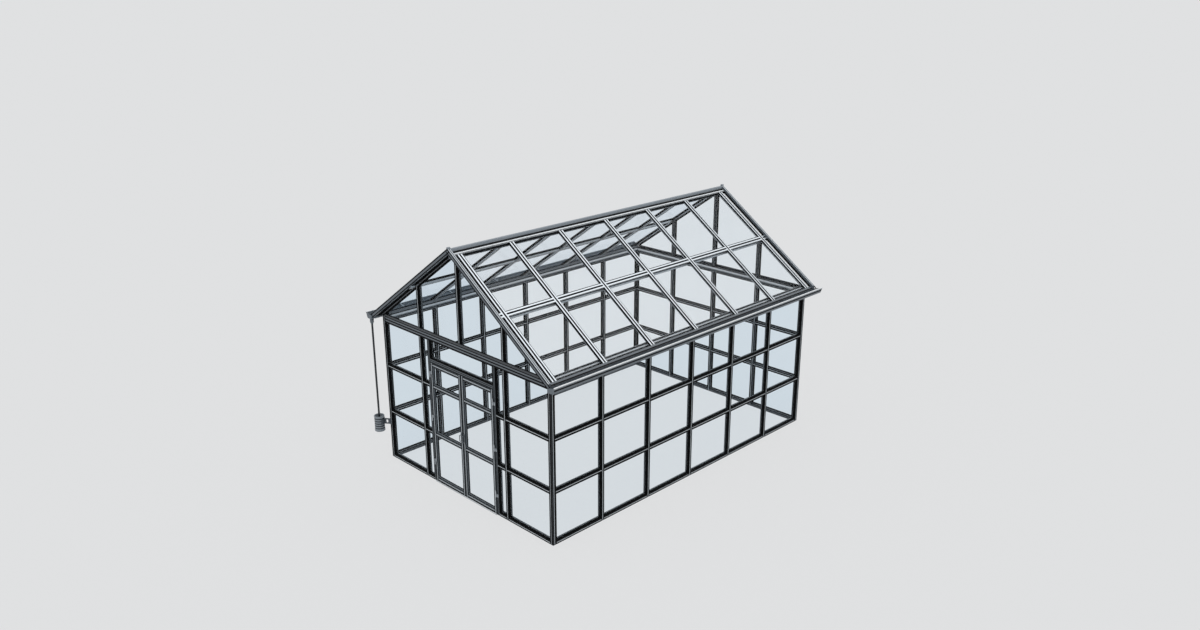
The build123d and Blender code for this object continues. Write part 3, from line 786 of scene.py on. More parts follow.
class Palette:
    """The materials in use, each built once from its finish."""

    def __init__(self) -> None:
        """Start with no materials built."""
        self.built: dict[str, bpy.types.Material] = {}

    def of(self, finish: Finish) -> bpy.types.Material:
        """Give a finish's material, building it the first time.

        Args:
            finish: The finish.

        Returns:
            Its material.
        """
        if finish.name not in self.built:
            self.built[finish.name] = finish.material()
        return self.built[finish.name]

    def dress(self, piece: Piece, finish: Finish, body: str = "house", slot: str | None = None) -> None:
        """Give a new piece its material and its body.

        Args:
            piece: The finished piece.
            finish: Its finish.
            body: The CAD body that it rides on.
            slot: Not used.
        """
        make_active(piece)
        bpy.ops.object.shade_smooth_by_angle(angle=SMOOTH_ANGLE)
        piece.data.materials.clear()
        piece.data.materials.append(self.of(finish))
        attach(piece, body)
        LOG.info("%s: %d faces, rides on %s", piece.name, len(piece.data.polygons), body)

    def join_copies(
        self,
        source: Piece,
        parts: list[Piece],
        name: str,
        finish: Finish,
        body: str = "house",
        slot: str | None = None,
    ) -> None:
        """Throw a pattern away, join its copies into one piece and dress it.

        Args:
            source: The pattern.
            parts: Its copies.
            name: The new piece's name.
            finish: Its finish.
            body: The CAD body that it rides on.
            slot: The record's material slot, where one fits.
        """
        bpy.data.objects.remove(source)
        if not parts:
            LOG.warning("%s: no faces found", name)
            return
        self.dress(join_pieces(parts, name), finish, body, slot)

    def dress_nodes(self) -> None:
        """Assign every carried-over CAD node the material of its finish."""
        for finish, names in NODE_FINISHES.items():
            for name in names:
                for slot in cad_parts[name].material_slots:
                    slot.material = self.of(finish)
                LOG.info("%s: %s", name, finish.name)


# ---- Glazing ----


@dataclass(frozen=True)
class Band:
    """A straight strip of a slope that a bar covers.

    Attributes:
        middle: A point on the bar's middle plane.
        across: The unit direction across the bar.
        half: Half the width that it covers.
    """

    middle: Vector
    across: Vector
    half: float


@dataclass(frozen=True)
class Ring:
    """The section of a closed frame that runs round a pane.

    Attributes:
        cover: How far inside the pane's edge the frame starts.
        width: Its width.
        base: How far off the glass it starts.
        height: Its height from there.
    """

    cover: float
    width: float
    base: float
    height: float


@dataclass
class GlazingRubbers:
    """The rubbers that hold the panes, made from the panes' own faces.

    Outside, a rubber stands beside the caps, with a foot on the glass and a lip over the cap's edge;
    its tall upright covers the cap's flank in near-black as painted shade. Inside, a low one lies on
    the glass, an upright covers the body's flank in near-black as painted shade, and an edge bead
    caps each corner of the bars' bodies.

    Attributes:
        palette: The materials.
        cap_rings: The sections outside on the walls: lip, upright and foot; the upright darkens the cap's
            flank as painted shade.
        body_rings: The same inside, where the upright darkens the body's flank as painted shade.
        foot_rings: The sections inside on the gables.
        roof_cap_rings: The sections outside on the roof.
        roof_body_rings: The sections inside on the roof.
        cap_half: Half the width of a roof bar outside.
        body_half: Half the width of a roof bar inside.
        ridge_half: How far the ridge covers each slope outside.
    """

    palette: Palette
    cap_rings: tuple[Ring, ...] = (
        Ring(0.0, 0.012, 0.016, 0.0015),
        Ring(0.009, 0.003, 0.0, 0.0175),
        Ring(0.012, 0.017, 0.0, 0.005),
    )
    body_rings: tuple[Ring, ...] = (
        Ring(0.0, 0.016, 0.050, 0.0015),
        Ring(0.015, 0.004, 0.0, 0.026),
        Ring(0.019, 0.006, 0.0, 0.006),
    )
    foot_rings: tuple[Ring, ...] = (Ring(0.015, 0.004, 0.0, 0.020), Ring(0.019, 0.006, 0.0, 0.006))
    roof_cap_rings: tuple[Ring, ...] = (Ring(0.0, 0.004, 0.0, 0.016), Ring(0.004, 0.016, 0.0, 0.005))
    roof_body_rings: tuple[Ring, ...] = (Ring(0.0, 0.004, 0.0, 0.016), Ring(0.004, 0.008, 0.0, 0.006))
    cap_half: float = 0.038
    body_half: float = 0.030
    ridge_half: float = 0.078

    def daylight(self, node: str, out: Vector, cover: float, bands: list[Band]) -> Piece:
        """Copy one side of a node's panes, cut back to what the bars leave open.

        Args:
            node: The glass node.
            out: The direction that the wanted side faces.
            cover: How far to cut back every edge.
            bands: Strips of the side to take away.

        Returns:
            The open faces, in edit mode.
        """
        piece = bpy.data.objects.new(node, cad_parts[node].data.copy())
        bpy.context.scene.collection.objects.link(piece)
        open_mesh(piece)
        bpy.ops.mesh.customdata_custom_splitnormals_clear()
        select_mesh()
        bpy.ops.mesh.remove_doubles(threshold=MERGE_DISTANCE)
        select_mesh()
        bpy.ops.mesh.dissolve_limited(angle_limit=FLAT_ANGLE)
        pick(piece, "FACE", lambda f: f.normal.dot(out) < PANE_WAY)
        bpy.ops.mesh.delete(type="FACE")
        for band in bands:
            for side in SIGNS:
                select_mesh()
                edge = band.middle + band.across * band.half * side
                bpy.ops.mesh.bisect(plane_co=edge, plane_no=band.across)
            pick(
                piece,
                "FACE",
                lambda f, b=band: abs((f.calc_center_median() - b.middle).dot(b.across)) < b.half,
            )
            bpy.ops.mesh.delete(type="FACE")
        if cover:
            select_mesh()
            bpy.ops.mesh.inset(thickness=cover, use_individual=True)
            select_mesh("INVERT")
            bpy.ops.mesh.delete(type="FACE")
        return piece

    def frame_round(self, node: str, out: Vector, ring: Ring, bands: list[Band]) -> Piece:
        """Model one closed frame round each pane of a node.

        Args:
            node: The glass node.
            out: The direction from the glass towards the frame.
            ring: The frame's section.
            bands: Strips of the slope that bars cover.

        Returns:
            The frames, as one object.
        """
        piece = self.daylight(node, out, ring.cover, bands)
        select_mesh()
        bpy.ops.mesh.inset(thickness=ring.width, use_individual=True)
        bpy.ops.mesh.delete(type="FACE")
        select_mesh()
        bpy.ops.transform.translate(value=out * ring.base)
        bpy.ops.mesh.extrude_region_shrink_fatten(TRANSFORM_OT_shrink_fatten={"value": ring.height})
        pick(piece, "EDGE", lambda e: self.is_lip(e, out))
        bpy.ops.mesh.bevel(offset=min(ring.height, ring.width) * LIP_BEVEL, segments=1, affect="EDGES")
        close_mesh()
        return piece

    @staticmethod
    def is_lip(edge: bmesh.types.BMEdge, out: Vector) -> bool:
        """Tell whether an edge is one of a frame's two top edges.

        Args:
            edge: The edge.
            out: The direction off the glass.

        Returns:
            True if one of its two faces looks off the glass and the other along it.
        """
        looks = sorted(abs(face.normal.dot(out)) for face in edge.link_faces)
        top = any(face.normal.dot(out) > TOP_WAY for face in edge.link_faces)
        return len(looks) == 2 and looks[0] < SIDE_WAY and top

    def build(
        self,
        node: str,
        out: Vector,
        rings: Iterable[Ring],
        name: str,
        body: str = "house",
        bands: Iterable[Band] = (),
        finish: Finish = RUBBER,
    ) -> None:
        """Model and dress the frames on one side of a glass node.

        Args:
            node: The glass node.
            out: The direction from the glass towards the frames.
            rings: The sections of the frames.
            name: The new piece's name.
            body: The CAD body that it rides on.
            bands: Strips of the slope that bars cover.
            finish: Its finish.
        """
        frames = [self.frame_round(node, out, ring, list(bands)) for ring in rings]
        self.palette.dress(join_pieces(frames, name), finish, body)

    def build_walls(self) -> None:
        """Model the rubbers of the walls and gables."""
        walls = {"left": Facing.LEFT, "right": Facing.RIGHT, "rear": Facing.REAR, "front": Facing.FRONT}
        planes = [(f"{side}_wall", facing.out, self.body_rings) for side, facing in walls.items()]
        planes += [(f"{side}_gable", walls[side].out, self.foot_rings) for side in ("front", "rear")]
        for plane, out, inner_rings in planes:
            self.build(f"{plane}_glass", out, self.cap_rings, f"{plane}_cap_rubbers")
            self.build(f"{plane}_glass", -out, inner_rings, f"{plane}_body_rubbers")

    def build_roof(self, house: HouseLines) -> None:
        """Model the rubbers of both roof slopes.

        Args:
            house: The lines of the bars.
        """
        for side, facing in zip(("left", "right"), SLOPES):
            node = f"{side}_roof_glass"
            caps = house.roof_bands(facing, self.cap_half, self.ridge_half)
            bodies = house.roof_bands(facing, self.body_half, 0.0)
            self.build(node, facing.out, self.roof_cap_rings, f"{side}_roof_cap_rubbers", bands=caps)
            self.build(node, -facing.out, self.roof_body_rings, f"{side}_roof_body_rubbers", bands=bodies)


@dataclass
class HouseLines:
    """The lines on which the house's bars stand, read from the CAD nodes.

    Attributes:
        half_width: Half the house's width.
        length: Its length.
        eave_z: The height of the corner posts' tops.
        purlin_x: How far from the middle the purlins lie.
        purlin_z: Their height.
        rafter_lines: Where the rafters lie along the house.
    """

    half_width: float
    length: float
    eave_z: float
    purlin_x: float
    purlin_z: float
    rafter_lines: tuple[float, ...]

    @classmethod
    def read(cls) -> HouseLines:
        """Work the lines out from the nodes' boxes and faces.

        Returns:
            The lines.
        """
        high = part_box("corner_posts")[1]
        slope = Facing.RIGHT_SLOPE.out
        rafters = flat_runs("rafters", slope) + flat_runs("gable_rafters", slope)
        purlin = flat_runs("purlins", slope)[0].centre
        lines = sorted({round(run.centre.y, 4) for run in rafters})
        return cls(high.x, high.y, high.z, purlin.x, purlin.z, tuple(lines))

    def roof_bands(self, facing: Facing, half: float, ridge_reach: float) -> list[Band]:
        """Give the strips of one slope that the roof's bars cover.

        Args:
            facing: The slope.
            half: Half the width that a bar covers.
            ridge_reach: How far out from the middle the ridge covers, or 0.

        Returns:
            The strips.
        """
        sign = math.copysign(1.0, facing.out.x)
        down = Vector((sign * math.cos(ROOF_PITCH), 0.0, -math.sin(ROOF_PITCH)))
        bands = [Band(Vector((0.0, y, 0.0)), Facing.REAR.out, half) for y in self.rafter_lines]
        bands.append(Band(Vector((sign * self.purlin_x, 0.0, self.purlin_z)), down, half))
        if ridge_reach:
            bands.append(Band(Vector((0.0, 0.0, 0.0)), Facing.RIGHT.out, ridge_reach))
        return bands

    def inner_depth(self, facing: Facing) -> float:
        """Give how far inward the inner faces of one wall's bars lie, from the origin.

        Args:
            facing: The wall.

        Returns:
            The distance along the inward direction.
        """
        outer = {Facing.FRONT: 0.0, Facing.REAR: self.length}.get(facing, self.half_width)
        return WALL_BAR - outer


# ---- Strips and seals on the bars ----


@dataclass(frozen=True)
class BarSide:
    """One side of the bars of a node.

    Attributes:
        node: The node's name.
        out: The way that the side faces.
        depth: How far out it lies, or None for the outermost.
    """

    node: str
    out: Vector
    depth: float | None = None


@dataclass(frozen=True)
class Strip:
    """A kind of thin strip, and where it lies across a face.

    Attributes:
        name: The name of the piece that all its strips make.
        width: Its width.
        finish: Its finish.
        shifts: How far each strip lies from the middle of a face.
        toward: The direction of a positive shift, or None for the face's own.
        slot: The record's material slot, where one fits.
        body: The CAD body that it rides on.
        proud: How far it stands off the face.
    """

    name: str
    width: float
    finish: Finish
    shifts: tuple[float, ...] = (0.0,)
    toward: Vector | None = None
    slot: str | None = None
    body: str = "house"
    proud: float = 0.0012

    def pattern(self) -> Piece:
        """Model a short strip with chamfered long edges, half sunk in the face.

        Returns:
            The pattern.
        """
        half, proud = self.width / 2, self.proud
        edge, low = half - proud * 0.7, proud * 0.3
        section = [(-half, -proud), (half, -proud), (half, low), (edge, proud), (-edge, proud), (-half, low)]
        return extrusion(section)


@dataclass
class FaceStrips:
    """What presses thin strips into the bars along their faces, over screws and joints.

    Attributes:
        palette: The materials.
    """

    palette: Palette

    def lay(self, strip: Strip, sides: Iterable[BarSide]) -> None:
        """Lay strips along every bar of some sides.

        Args:
            strip: The kind of strip.
            sides: The sides of the bars.
        """
        lines = []
        for side in sides:
            for run in flat_runs(side.node, side.out, side.depth):
                across = run.out.cross(run.along)
                if strip.toward is not None and across.dot(strip.toward) < 0:
                    across.negate()
                if run.length < SHORTEST_FACE or run.width < strip.width:
                    continue
                reach = run.along * (run.length / 2 - END_GAP)
                for shift in strip.shifts:
                    middle = run.centre + across * shift
                    lines.append((middle - reach, middle + reach, run.out))
        self.draw(strip, lines)

    def draw(self, strip: Strip, lines: Iterable[Line]) -> None:
        """Lay strips from point to point.

        Args:
            strip: The kind of strip.
            lines: Where each starts, where it ends and how it faces.
        """
        source = strip.pattern()
        strips = [laid(source, *line) for line in lines]
        self.palette.join_copies(source, strips, strip.name, strip.finish, strip.body, strip.slot)


@dataclass
class WallTrim:
    """The seals, lines and weather bars of the four walls.

    Attributes:
        strips: What lays the strips.
        lines: The lines of the bars.
        seal_height: The height of the black seal under the sills.
        sill_half: Half the height of the sills' face.
        foot_gap: How far from the ground and the eave the corner strips stop.
        weather_low: How far below the eave a weather bar starts.
        weather_high: How far above the eave it ends.
        weather_end: How far from the house's corner it stops.
    """

    strips: FaceStrips
    lines: HouseLines
    seal_height: float = 0.020
    sill_half: float = 0.027
    foot_gap: float = 0.002
    weather_low: float = 0.002
    weather_high: float = 0.030
    weather_end: float = 0.064

    def beam_lines(self, heights: Iterable[float], inside: bool) -> list[Line]:
        """Give the four lines that run round the beams at each height.

        Args:
            heights: The heights.
            inside: Whether they run on the inner faces.

        Returns:
            The lines.
        """
        wide, long, corner = self.lines.half_width, self.lines.length, WALL_BAR
        depth, turn = (corner, -1.0) if inside else (0.0, 1.0)
        rows = []
        for z in heights:
            for sign in SIGNS:
                x = sign * (wide - depth)
                rows.append(((x, corner, z), (x, long - corner, z), (sign * turn, 0.0, 0.0)))
            for y, way in ((depth, -1.0), (long - depth, 1.0)):
                rows.append(((corner - wide, y, z), (wide - corner, y, z), (0.0, way * turn, 0.0)))
        return rows

    def build_seals(self) -> None:
        """Lay the seals under the sills and along the beams, and a pale band inside painted as a highlight.
        """
        sills = [BarSide("base_sills", facing.out) for facing in ALL_ROUND_HOUSE]
        ground = (self.sill_half - self.seal_height / 2,)
        self.strips.lay(Strip("sill_ground_seals", self.seal_height, RUBBER, ground, DOWN), sills)
        for name, width, finish, heights in (
            ("groove_seals", 0.022, RUBBER, (2.4615,)),
            ("edge_seals", 0.018, RUBBER, (2.420, 2.505)),
            ("inner_low_seals", 0.014, RUBBER, (2.440,)),
            ("inner_high_seals", 0.014, RUBBER, (2.511,)),
            ("inner_bands", 0.030, HIGHLIGHT_TRIM, (2.484,)),
        ):
            rows = self.beam_lines(heights, inside=name.startswith("inner"))
            self.strips.draw(Strip(f"beam_{name}", width, finish), rows)

    def corner_lines(self, face: str, inset: float) -> list[Line]:
        """Give the upright lines on one face of each corner post.

        Args:
            face: front for the faces along X, side for those along Y.
            inset: How far from the corner the lines stand.

        Returns:
            The lines.
        """
        wide, long = self.lines.half_width, self.lines.length
        rows = []
        for sign in SIGNS:
            for y, way in ((0.0, -1.0), (long, 1.0)):
                if face == "front":
                    x, depth, out = sign * (wide - inset), y, (0.0, way, 0.0)
                else:
                    x, depth, out = sign * wide, y - way * inset, (sign, 0.0, 0.0)
                rows.append(((x, depth, self.foot_gap), (x, depth, self.lines.eave_z - self.foot_gap), out))
        return rows

    def build_corner_seals(self) -> None:
        """Lay black seals up both faces of every corner post, with a pale line painted as a highlight between
        them.
        """
        for face, inset_mm, width in (
            ("front", 22, 0.034),
            ("front", 54, 0.020),
            ("side", 11, 0.020),
            ("side", 51, 0.028),
        ):
            strip = Strip(f"{face}_corner_seals_{inset_mm}", width, RUBBER)
            self.strips.draw(strip, self.corner_lines(face, inset_mm / 1000))
        pale = self.corner_lines("front", 0.0415) + self.corner_lines("side", 0.029)
        self.strips.draw(Strip("corner_lines", 0.0075, CAP_HIGHLIGHT_LINE, slot="wall_bars"), pale)

    def build_cap_lines(self) -> None:
        """Lay a pale line painted as a highlight along the middle of every bar, inside and out, with a rubber
        at each side.
        """
        caps = {}
        for wall, facings in WALLS.items():
            for node in (f"{wall}_{bar}" for bar in WALL_BARS):
                inner = [BarSide(node, -facing.out, self.lines.inner_depth(facing)) for facing in facings]
                self.strips.lay(Strip(f"{node}_inner_seals", 0.010, RUBBER, (-0.0105, 0.0105)), inner)
                self.strips.lay(Strip(f"{node}_inner_lines", 0.010, INNER_FACE_HIGHLIGHT, slot="wall_bars"), inner)
                caps[node] = facings
        caps |= {"front_gable_posts": (Facing.FRONT,), "rear_gable_posts": (Facing.REAR,)}
        for node, facings in caps.items():
            faces = [BarSide(node, facing.out) for facing in facings]
            self.strips.lay(Strip(f"{node}_cap_edges", 0.019, RUBBER, (-0.0145, 0.0145)), faces)
            self.strips.lay(Strip(f"{node}_cap_lines", 0.010, CAP_HIGHLIGHT_LINE, slot="wall_bars"), faces)
        sills = [BarSide("base_sills", facing.out) for facing in ALL_ROUND_HOUSE]
        self.strips.lay(Strip("sill_lines", 0.011, CAP_HIGHLIGHT_LINE, (-0.0015,), UP, "wall_bars"), sills)
        self.strips.lay(Strip("sill_top_rubbers", 0.022, RUBBER, (0.0155,), UP), sills)

    def build_weather_bars(self) -> None:
        """Fix a dark drip bar with a black upper lip over each tie beam."""
        low, high = self.lines.eave_z - self.weather_low, self.lines.eave_z + self.weather_high
        reach = self.lines.half_width - self.weather_end
        foot = -0.006
        bar = [(-0.016, foot), (-0.016, 0.003), (-0.013, 0.0045), (0.012, 0.0045)]
        bar += [(0.016, 0.001), (0.016, foot)]
        lip = [(-0.0045, foot), (-0.0045, 0.004), (0.002, 0.004), (0.0045, 0.001), (0.0045, foot)]
        ends = ((0.0, Facing.FRONT.out, 1.0), (self.lines.length, Facing.REAR.out, -1.0))
        for section, z, end, *look in (
            (bar, (low + high) / 2, reach, "tie_beam_weather_bars", DARK_TRIM, "house", "wall_bars"),
            (lip, high + 0.0045, reach - 0.035, "weather_bar_lips", RUBBER),
        ):
            source = extrusion(section)
            pieces = [laid(source, (-sign * end, y, z), (sign * end, y, z), out) for y, out, sign in ends]
            self.strips.palette.join_copies(source, pieces, *look)

    def build_gable_beads(self) -> None:
        """Cap the inner edges of the gable posts' bodies."""
        inner = [
            BarSide(f"{name}_gable_posts", -facing.out, self.lines.inner_depth(facing))
            for name, facing in (("front", Facing.FRONT), ("rear", Facing.REAR))
        ]
        self.strips.lay(Strip("gable_post_edge_beads", 0.015, RUBBER, (-0.0225, 0.0225)), inner)

    def build(self) -> None:
        """Model all the trim of the walls."""
        self.build_seals()
        self.build_corner_seals()
        self.build_cap_lines()
        self.build_weather_bars()
        self.build_gable_beads()


@dataclass
class RoofTrim:
    """The strips, covers and seals of the roof.

    Attributes:
        strips: What lays the strips.
        crest_top: How far the crest cover rises over the apex line.
        crest_half: Half its width.
        cap_rise: How far the ridge cap rises over that line.
        flange_edge: How far over the ridge cap's foot its sloping face starts.
    """

    strips: FaceStrips
    crest_top: float = 0.0375
    crest_half: float = 0.0205
    cap_rise: float = 0.036
    flange_edge: float = 0.0049

    def build_cap_strips(self) -> None:
        """Lay the dark screw strips along the caps, and the pale lines painted as highlights and the beads
        along the inner faces.
        """
        for node in ("rafters", "gable_rafters", "purlins"):
            outer = [BarSide(node, facing.out) for facing in SLOPES]
            inner = [BarSide(node, -facing.out) for facing in SLOPES]
            self.strips.lay(Strip(f"{node}_cap_strips", 0.030, STRIP), outer)
            self.strips.lay(Strip(f"{node}_inner_lines", 0.020, HIGHLIGHT_TRIM, slot="roof_bars"), inner)
            self.strips.lay(Strip(f"{node}_inner_beads", 0.015, RUBBER, (-0.0225, 0.0225)), inner)

    def build_ridge(self) -> None:
        """Cover the ridge's crest and seal its foot on both slopes."""
        low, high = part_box("ridge_cap")
        apex = high.z - self.cap_rise
        half, top = self.crest_half, self.crest_top
        side = [(half, -0.0085), (half, top - 0.0105), (half - 0.003, top - 0.004), (half - 0.0095, top)]
        source = extrusion(side + [(-across, rise) for across, rise in reversed(side)])
        cover = laid(source, (0.0, low.y, apex), (0.0, high.y, apex), UP)
        # The crest cover's coat is painted lighter, as light on the ridge's top.
        self.strips.palette.join_copies(source, [cover], "ridge_crest_cover", PAINTED_LIGHT_CREST, slot="wall_bars")
        foot = Vector((high.x, 0.0, low.z + self.flange_edge)).dot(Facing.RIGHT_SLOPE.out)
        flanges = [BarSide("ridge_cap", facing.out, foot) for facing in SLOPES]
        self.strips.lay(Strip("ridge_crest_seals", 0.036, RUBBER, (0.0155,), UP), flanges)
        self.strips.lay(Strip("ridge_flange_lips", 0.009, RUBBER, (-0.029,), UP), flanges)

    def build_barges(self) -> None:
        """Lay the seals, and the pale lines painted as highlights, along the barges."""
        nodes = ("left_barges", "right_barges")
        tops = [BarSide(node, facing.out) for node, facing in zip(nodes, SLOPES)]
        faces = [BarSide(node, facing.out) for node in nodes for facing in (Facing.FRONT, Facing.REAR)]
        self.strips.lay(Strip("barge_top_seals", 0.012, RUBBER), tops)
        self.strips.lay(Strip("barge_top_lines", 0.014, HIGHLIGHT_TRIM, (-0.013, 0.013)), tops)
        self.strips.lay(Strip("barge_face_seals", 0.018, RUBBER, (-0.026, 0.021), UP), faces)

    def build_eaves(self) -> None:
        """Lay the seals along the roof's edge rails and along the eave beams' sloping tops, with pale lines
        painted as highlights among them.
        """
        edges = [BarSide("roof_edge_rails", facing.out) for facing in SLOPES]
        ends = [BarSide("roof_edge_rails", facing.out) for facing in (Facing.LEFT, Facing.RIGHT)]
        beams = [BarSide("eave_beams", facing.out) for facing in SLOPES]
        for sides, strip in (
            (edges, Strip("roof_edge_seals", 0.024, RUBBER, (-0.014,), UP)),
            (ends, Strip("roof_edge_end_lines", 0.026, HIGHLIGHT_LIP, (-0.008,), UP, "roof_bars")),
            (ends, Strip("roof_edge_end_seals", 0.014, RUBBER, (0.022,), UP)),
            (beams, Strip("eave_beam_seals", 0.021, RUBBER, (-0.031, 0.022), UP)),
            (beams, Strip("eave_beam_lines", 0.010, HIGHLIGHT_TRIM, (-0.006,), UP, "wall_bars")),
        ):
            self.strips.lay(strip, sides)

    def build(self) -> None:
        """Model all the trim of the roof."""
        self.build_cap_strips()
        self.build_ridge()
        self.build_barges()
        self.build_eaves()


# ---- Rain water ----


@dataclass
class GutterFittings:
    """The lip beads, straps and union of the gutters, and the cone under the outlet.

    Attributes:
        palette: The materials.
        bead_radius: The radius of the rolled lip.
        bead_steps: The number of facets round it.
        bead_rise: How far it stands over the gutter's edge.
        shade_line_inset: How far in from the edge the flare's painted shade line lies.
        shade_line_rise: How far over the gutter's floor it lies.
        strap_count: The number of straps on each gutter, 1 m apart.
        strap_first: How far along the house the first one lies.
        strap_foot: How far in from the trough's inner and lower sides a strap starts.
        strap_head: How far in from its outer and upper sides it ends.
        strap_half: Half the width of a strap.
        strap_sheet: Half its thickness.
        clip_half: Half the width of the union's clip.
        clip_floor: Where it starts and ends under the floor, along X.
        clip_flare: Where it starts and ends on the flare.
        cone_height: The height of the cone on the downpipe.
        cone_radius: Its radius at the top.
        cone_gap: How far it stands off the pipe.
        cone_steps: The number of facets round it.
    """

    palette: Palette
    bead_radius: float = 0.0105
    bead_steps: int = 12
    bead_rise: float = 0.006
    shade_line_inset: float = 0.0158
    shade_line_rise: float = 0.055
    strap_count: int = 6
    strap_first: float = 0.5
    strap_foot: tuple[float, float] = (0.002, 0.052)
    strap_head: tuple[float, float] = (0.008, 0.006)
    strap_half: float = 0.011
    strap_sheet: float = 0.0015
    clip_half: float = 0.018
    clip_floor: tuple[float, float] = (-2.118, -2.198)
    clip_flare: tuple[float, float] = (-2.2185, -2.2425)
    cone_height: float = 0.045
    cone_radius: float = 0.0315
    cone_gap: float = 0.0001
    cone_steps: int = 32

    def fit(self, section: Pairs, lines: Iterable[Line], name: str, finish: Finish = SLATE_GUTTER) -> None:
        """Lay one section from point to point and dress it in its finish.

        Args:
            section: The section's corners.
            lines: Where each piece starts, where it ends and how it faces.
            name: The new piece's name.
            finish: Its finish.
        """
        source = extrusion(section)
        pieces = [laid(source, *line) for line in lines]
        self.palette.join_copies(source, pieces, name, finish, "house", "gutter_metal")

    def build_lips(self) -> None:
        """Roll a bead along the outer lip of each gutter, near-white as a painted highlight."""
        turns = [math.tau * index / self.bead_steps for index in range(self.bead_steps)]
        circle = [(self.bead_radius * math.cos(turn), self.bead_radius * math.sin(turn)) for turn in turns]
        lines = []
        for node, sign in (("left_gutter", -1.0), ("gutter_outlet", -1.0), ("right_gutter", 1.0)):
            low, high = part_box(node)
            x = sign * (max(abs(low.x), abs(high.x)) - self.bead_radius - 0.0005)
            z = high.z - self.bead_radius + self.bead_rise
            lines.append(((x, low.y, z), (x, high.y, z), UP))
        self.fit(circle, lines, "gutter_lip_beads", HIGHLIGHT_LIP)

    def build_flare_shade_lines(self) -> None:
        """Lay a near-black line along the flare of each gutter, under the lip, as painted shade."""
        low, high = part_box("right_gutter")
        lines = []
        for sign in SIGNS:
            x, z = sign * (high.x - self.shade_line_inset), low.z + self.shade_line_rise
            out = (sign * FLARE_OUT[0], 0.0, FLARE_OUT[2])
            lines.append(((x, low.y + 0.003, z), (x, high.y - 0.003, z), out))
        # A near-black strip painted as the shade line under the lip.
        FaceStrips(self.palette).draw(Strip("gutter_flare_painted_shade", 0.028, RUBBER, proud=0.0016), lines)

    def build_straps(self) -> None:
        """Span each gutter with flat straps from the roof edge to the lip."""
        low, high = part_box("right_gutter")
        half, thick = self.strap_half, self.strap_sheet
        foot_x, foot_z = low.x + self.strap_foot[0], low.z + self.strap_foot[1]
        head_x, head_z = high.x - self.strap_head[0], high.z - self.strap_head[1]
        rows = [self.strap_first + index for index in range(self.strap_count)]
        lines = [
            ((sign * foot_x, y, foot_z), (sign * head_x, y, head_z), UP) for sign in SIGNS for y in rows
        ]
        section = [(-half, -thick), (half, -thick), (half, thick), (-half, thick)]
        self.fit(section, lines, "gutter_straps")

    def build_union(self) -> None:
        """Wrap a clip round the joint between the left gutter and its outlet piece."""
        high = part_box("gutter_outlet")[1]
        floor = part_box("left_gutter")[0].z
        half, y = self.clip_half, high.y
        section = [(-half, -0.001), (half, -0.001), (half, 0.0013), (-half, 0.0013)]
        near, far = self.clip_floor
        start, end = self.clip_flare
        out = (-FLARE_OUT[0], 0.0, FLARE_OUT[2])
        flare = ((start, y, floor + 0.0185), (end, y, high.z - 0.013), out)
        self.fit(section, [((near, y, floor), (far, y, floor), DOWN), flare], "gutter_union_clip")

    def build_cone(self) -> None:
        """Taper from the outlet's collar down to the pipe."""
        low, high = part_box("downpipe")
        middle = (low + high) / 2
        pipe = (high.x - low.x) / 2
        bore, top, wide = pipe + self.cone_gap, self.cone_height, self.cone_radius
        section = [(bore, 0.0), (pipe + 0.0025, 0.0), (pipe + 0.0035, 0.006)]
        section += [(wide, top - 0.006), (wide, top), (bore, top), (bore, 0.0)]
        cone = turned(section, self.cone_steps)
        cone.location = (middle.x, middle.y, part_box("gutter_outlet")[0].z - top + 0.001)
        apply_place(cone)
        self.palette.dress(join_pieces([cone], "outlet_cone"), SLATE_GUTTER, "house", "gutter_metal")

    def build(self) -> None:
        """Model all the gutter fittings."""
        self.build_lips()
        self.build_flare_shade_lines()
        self.build_straps()
        self.build_union()
        self.build_cone()


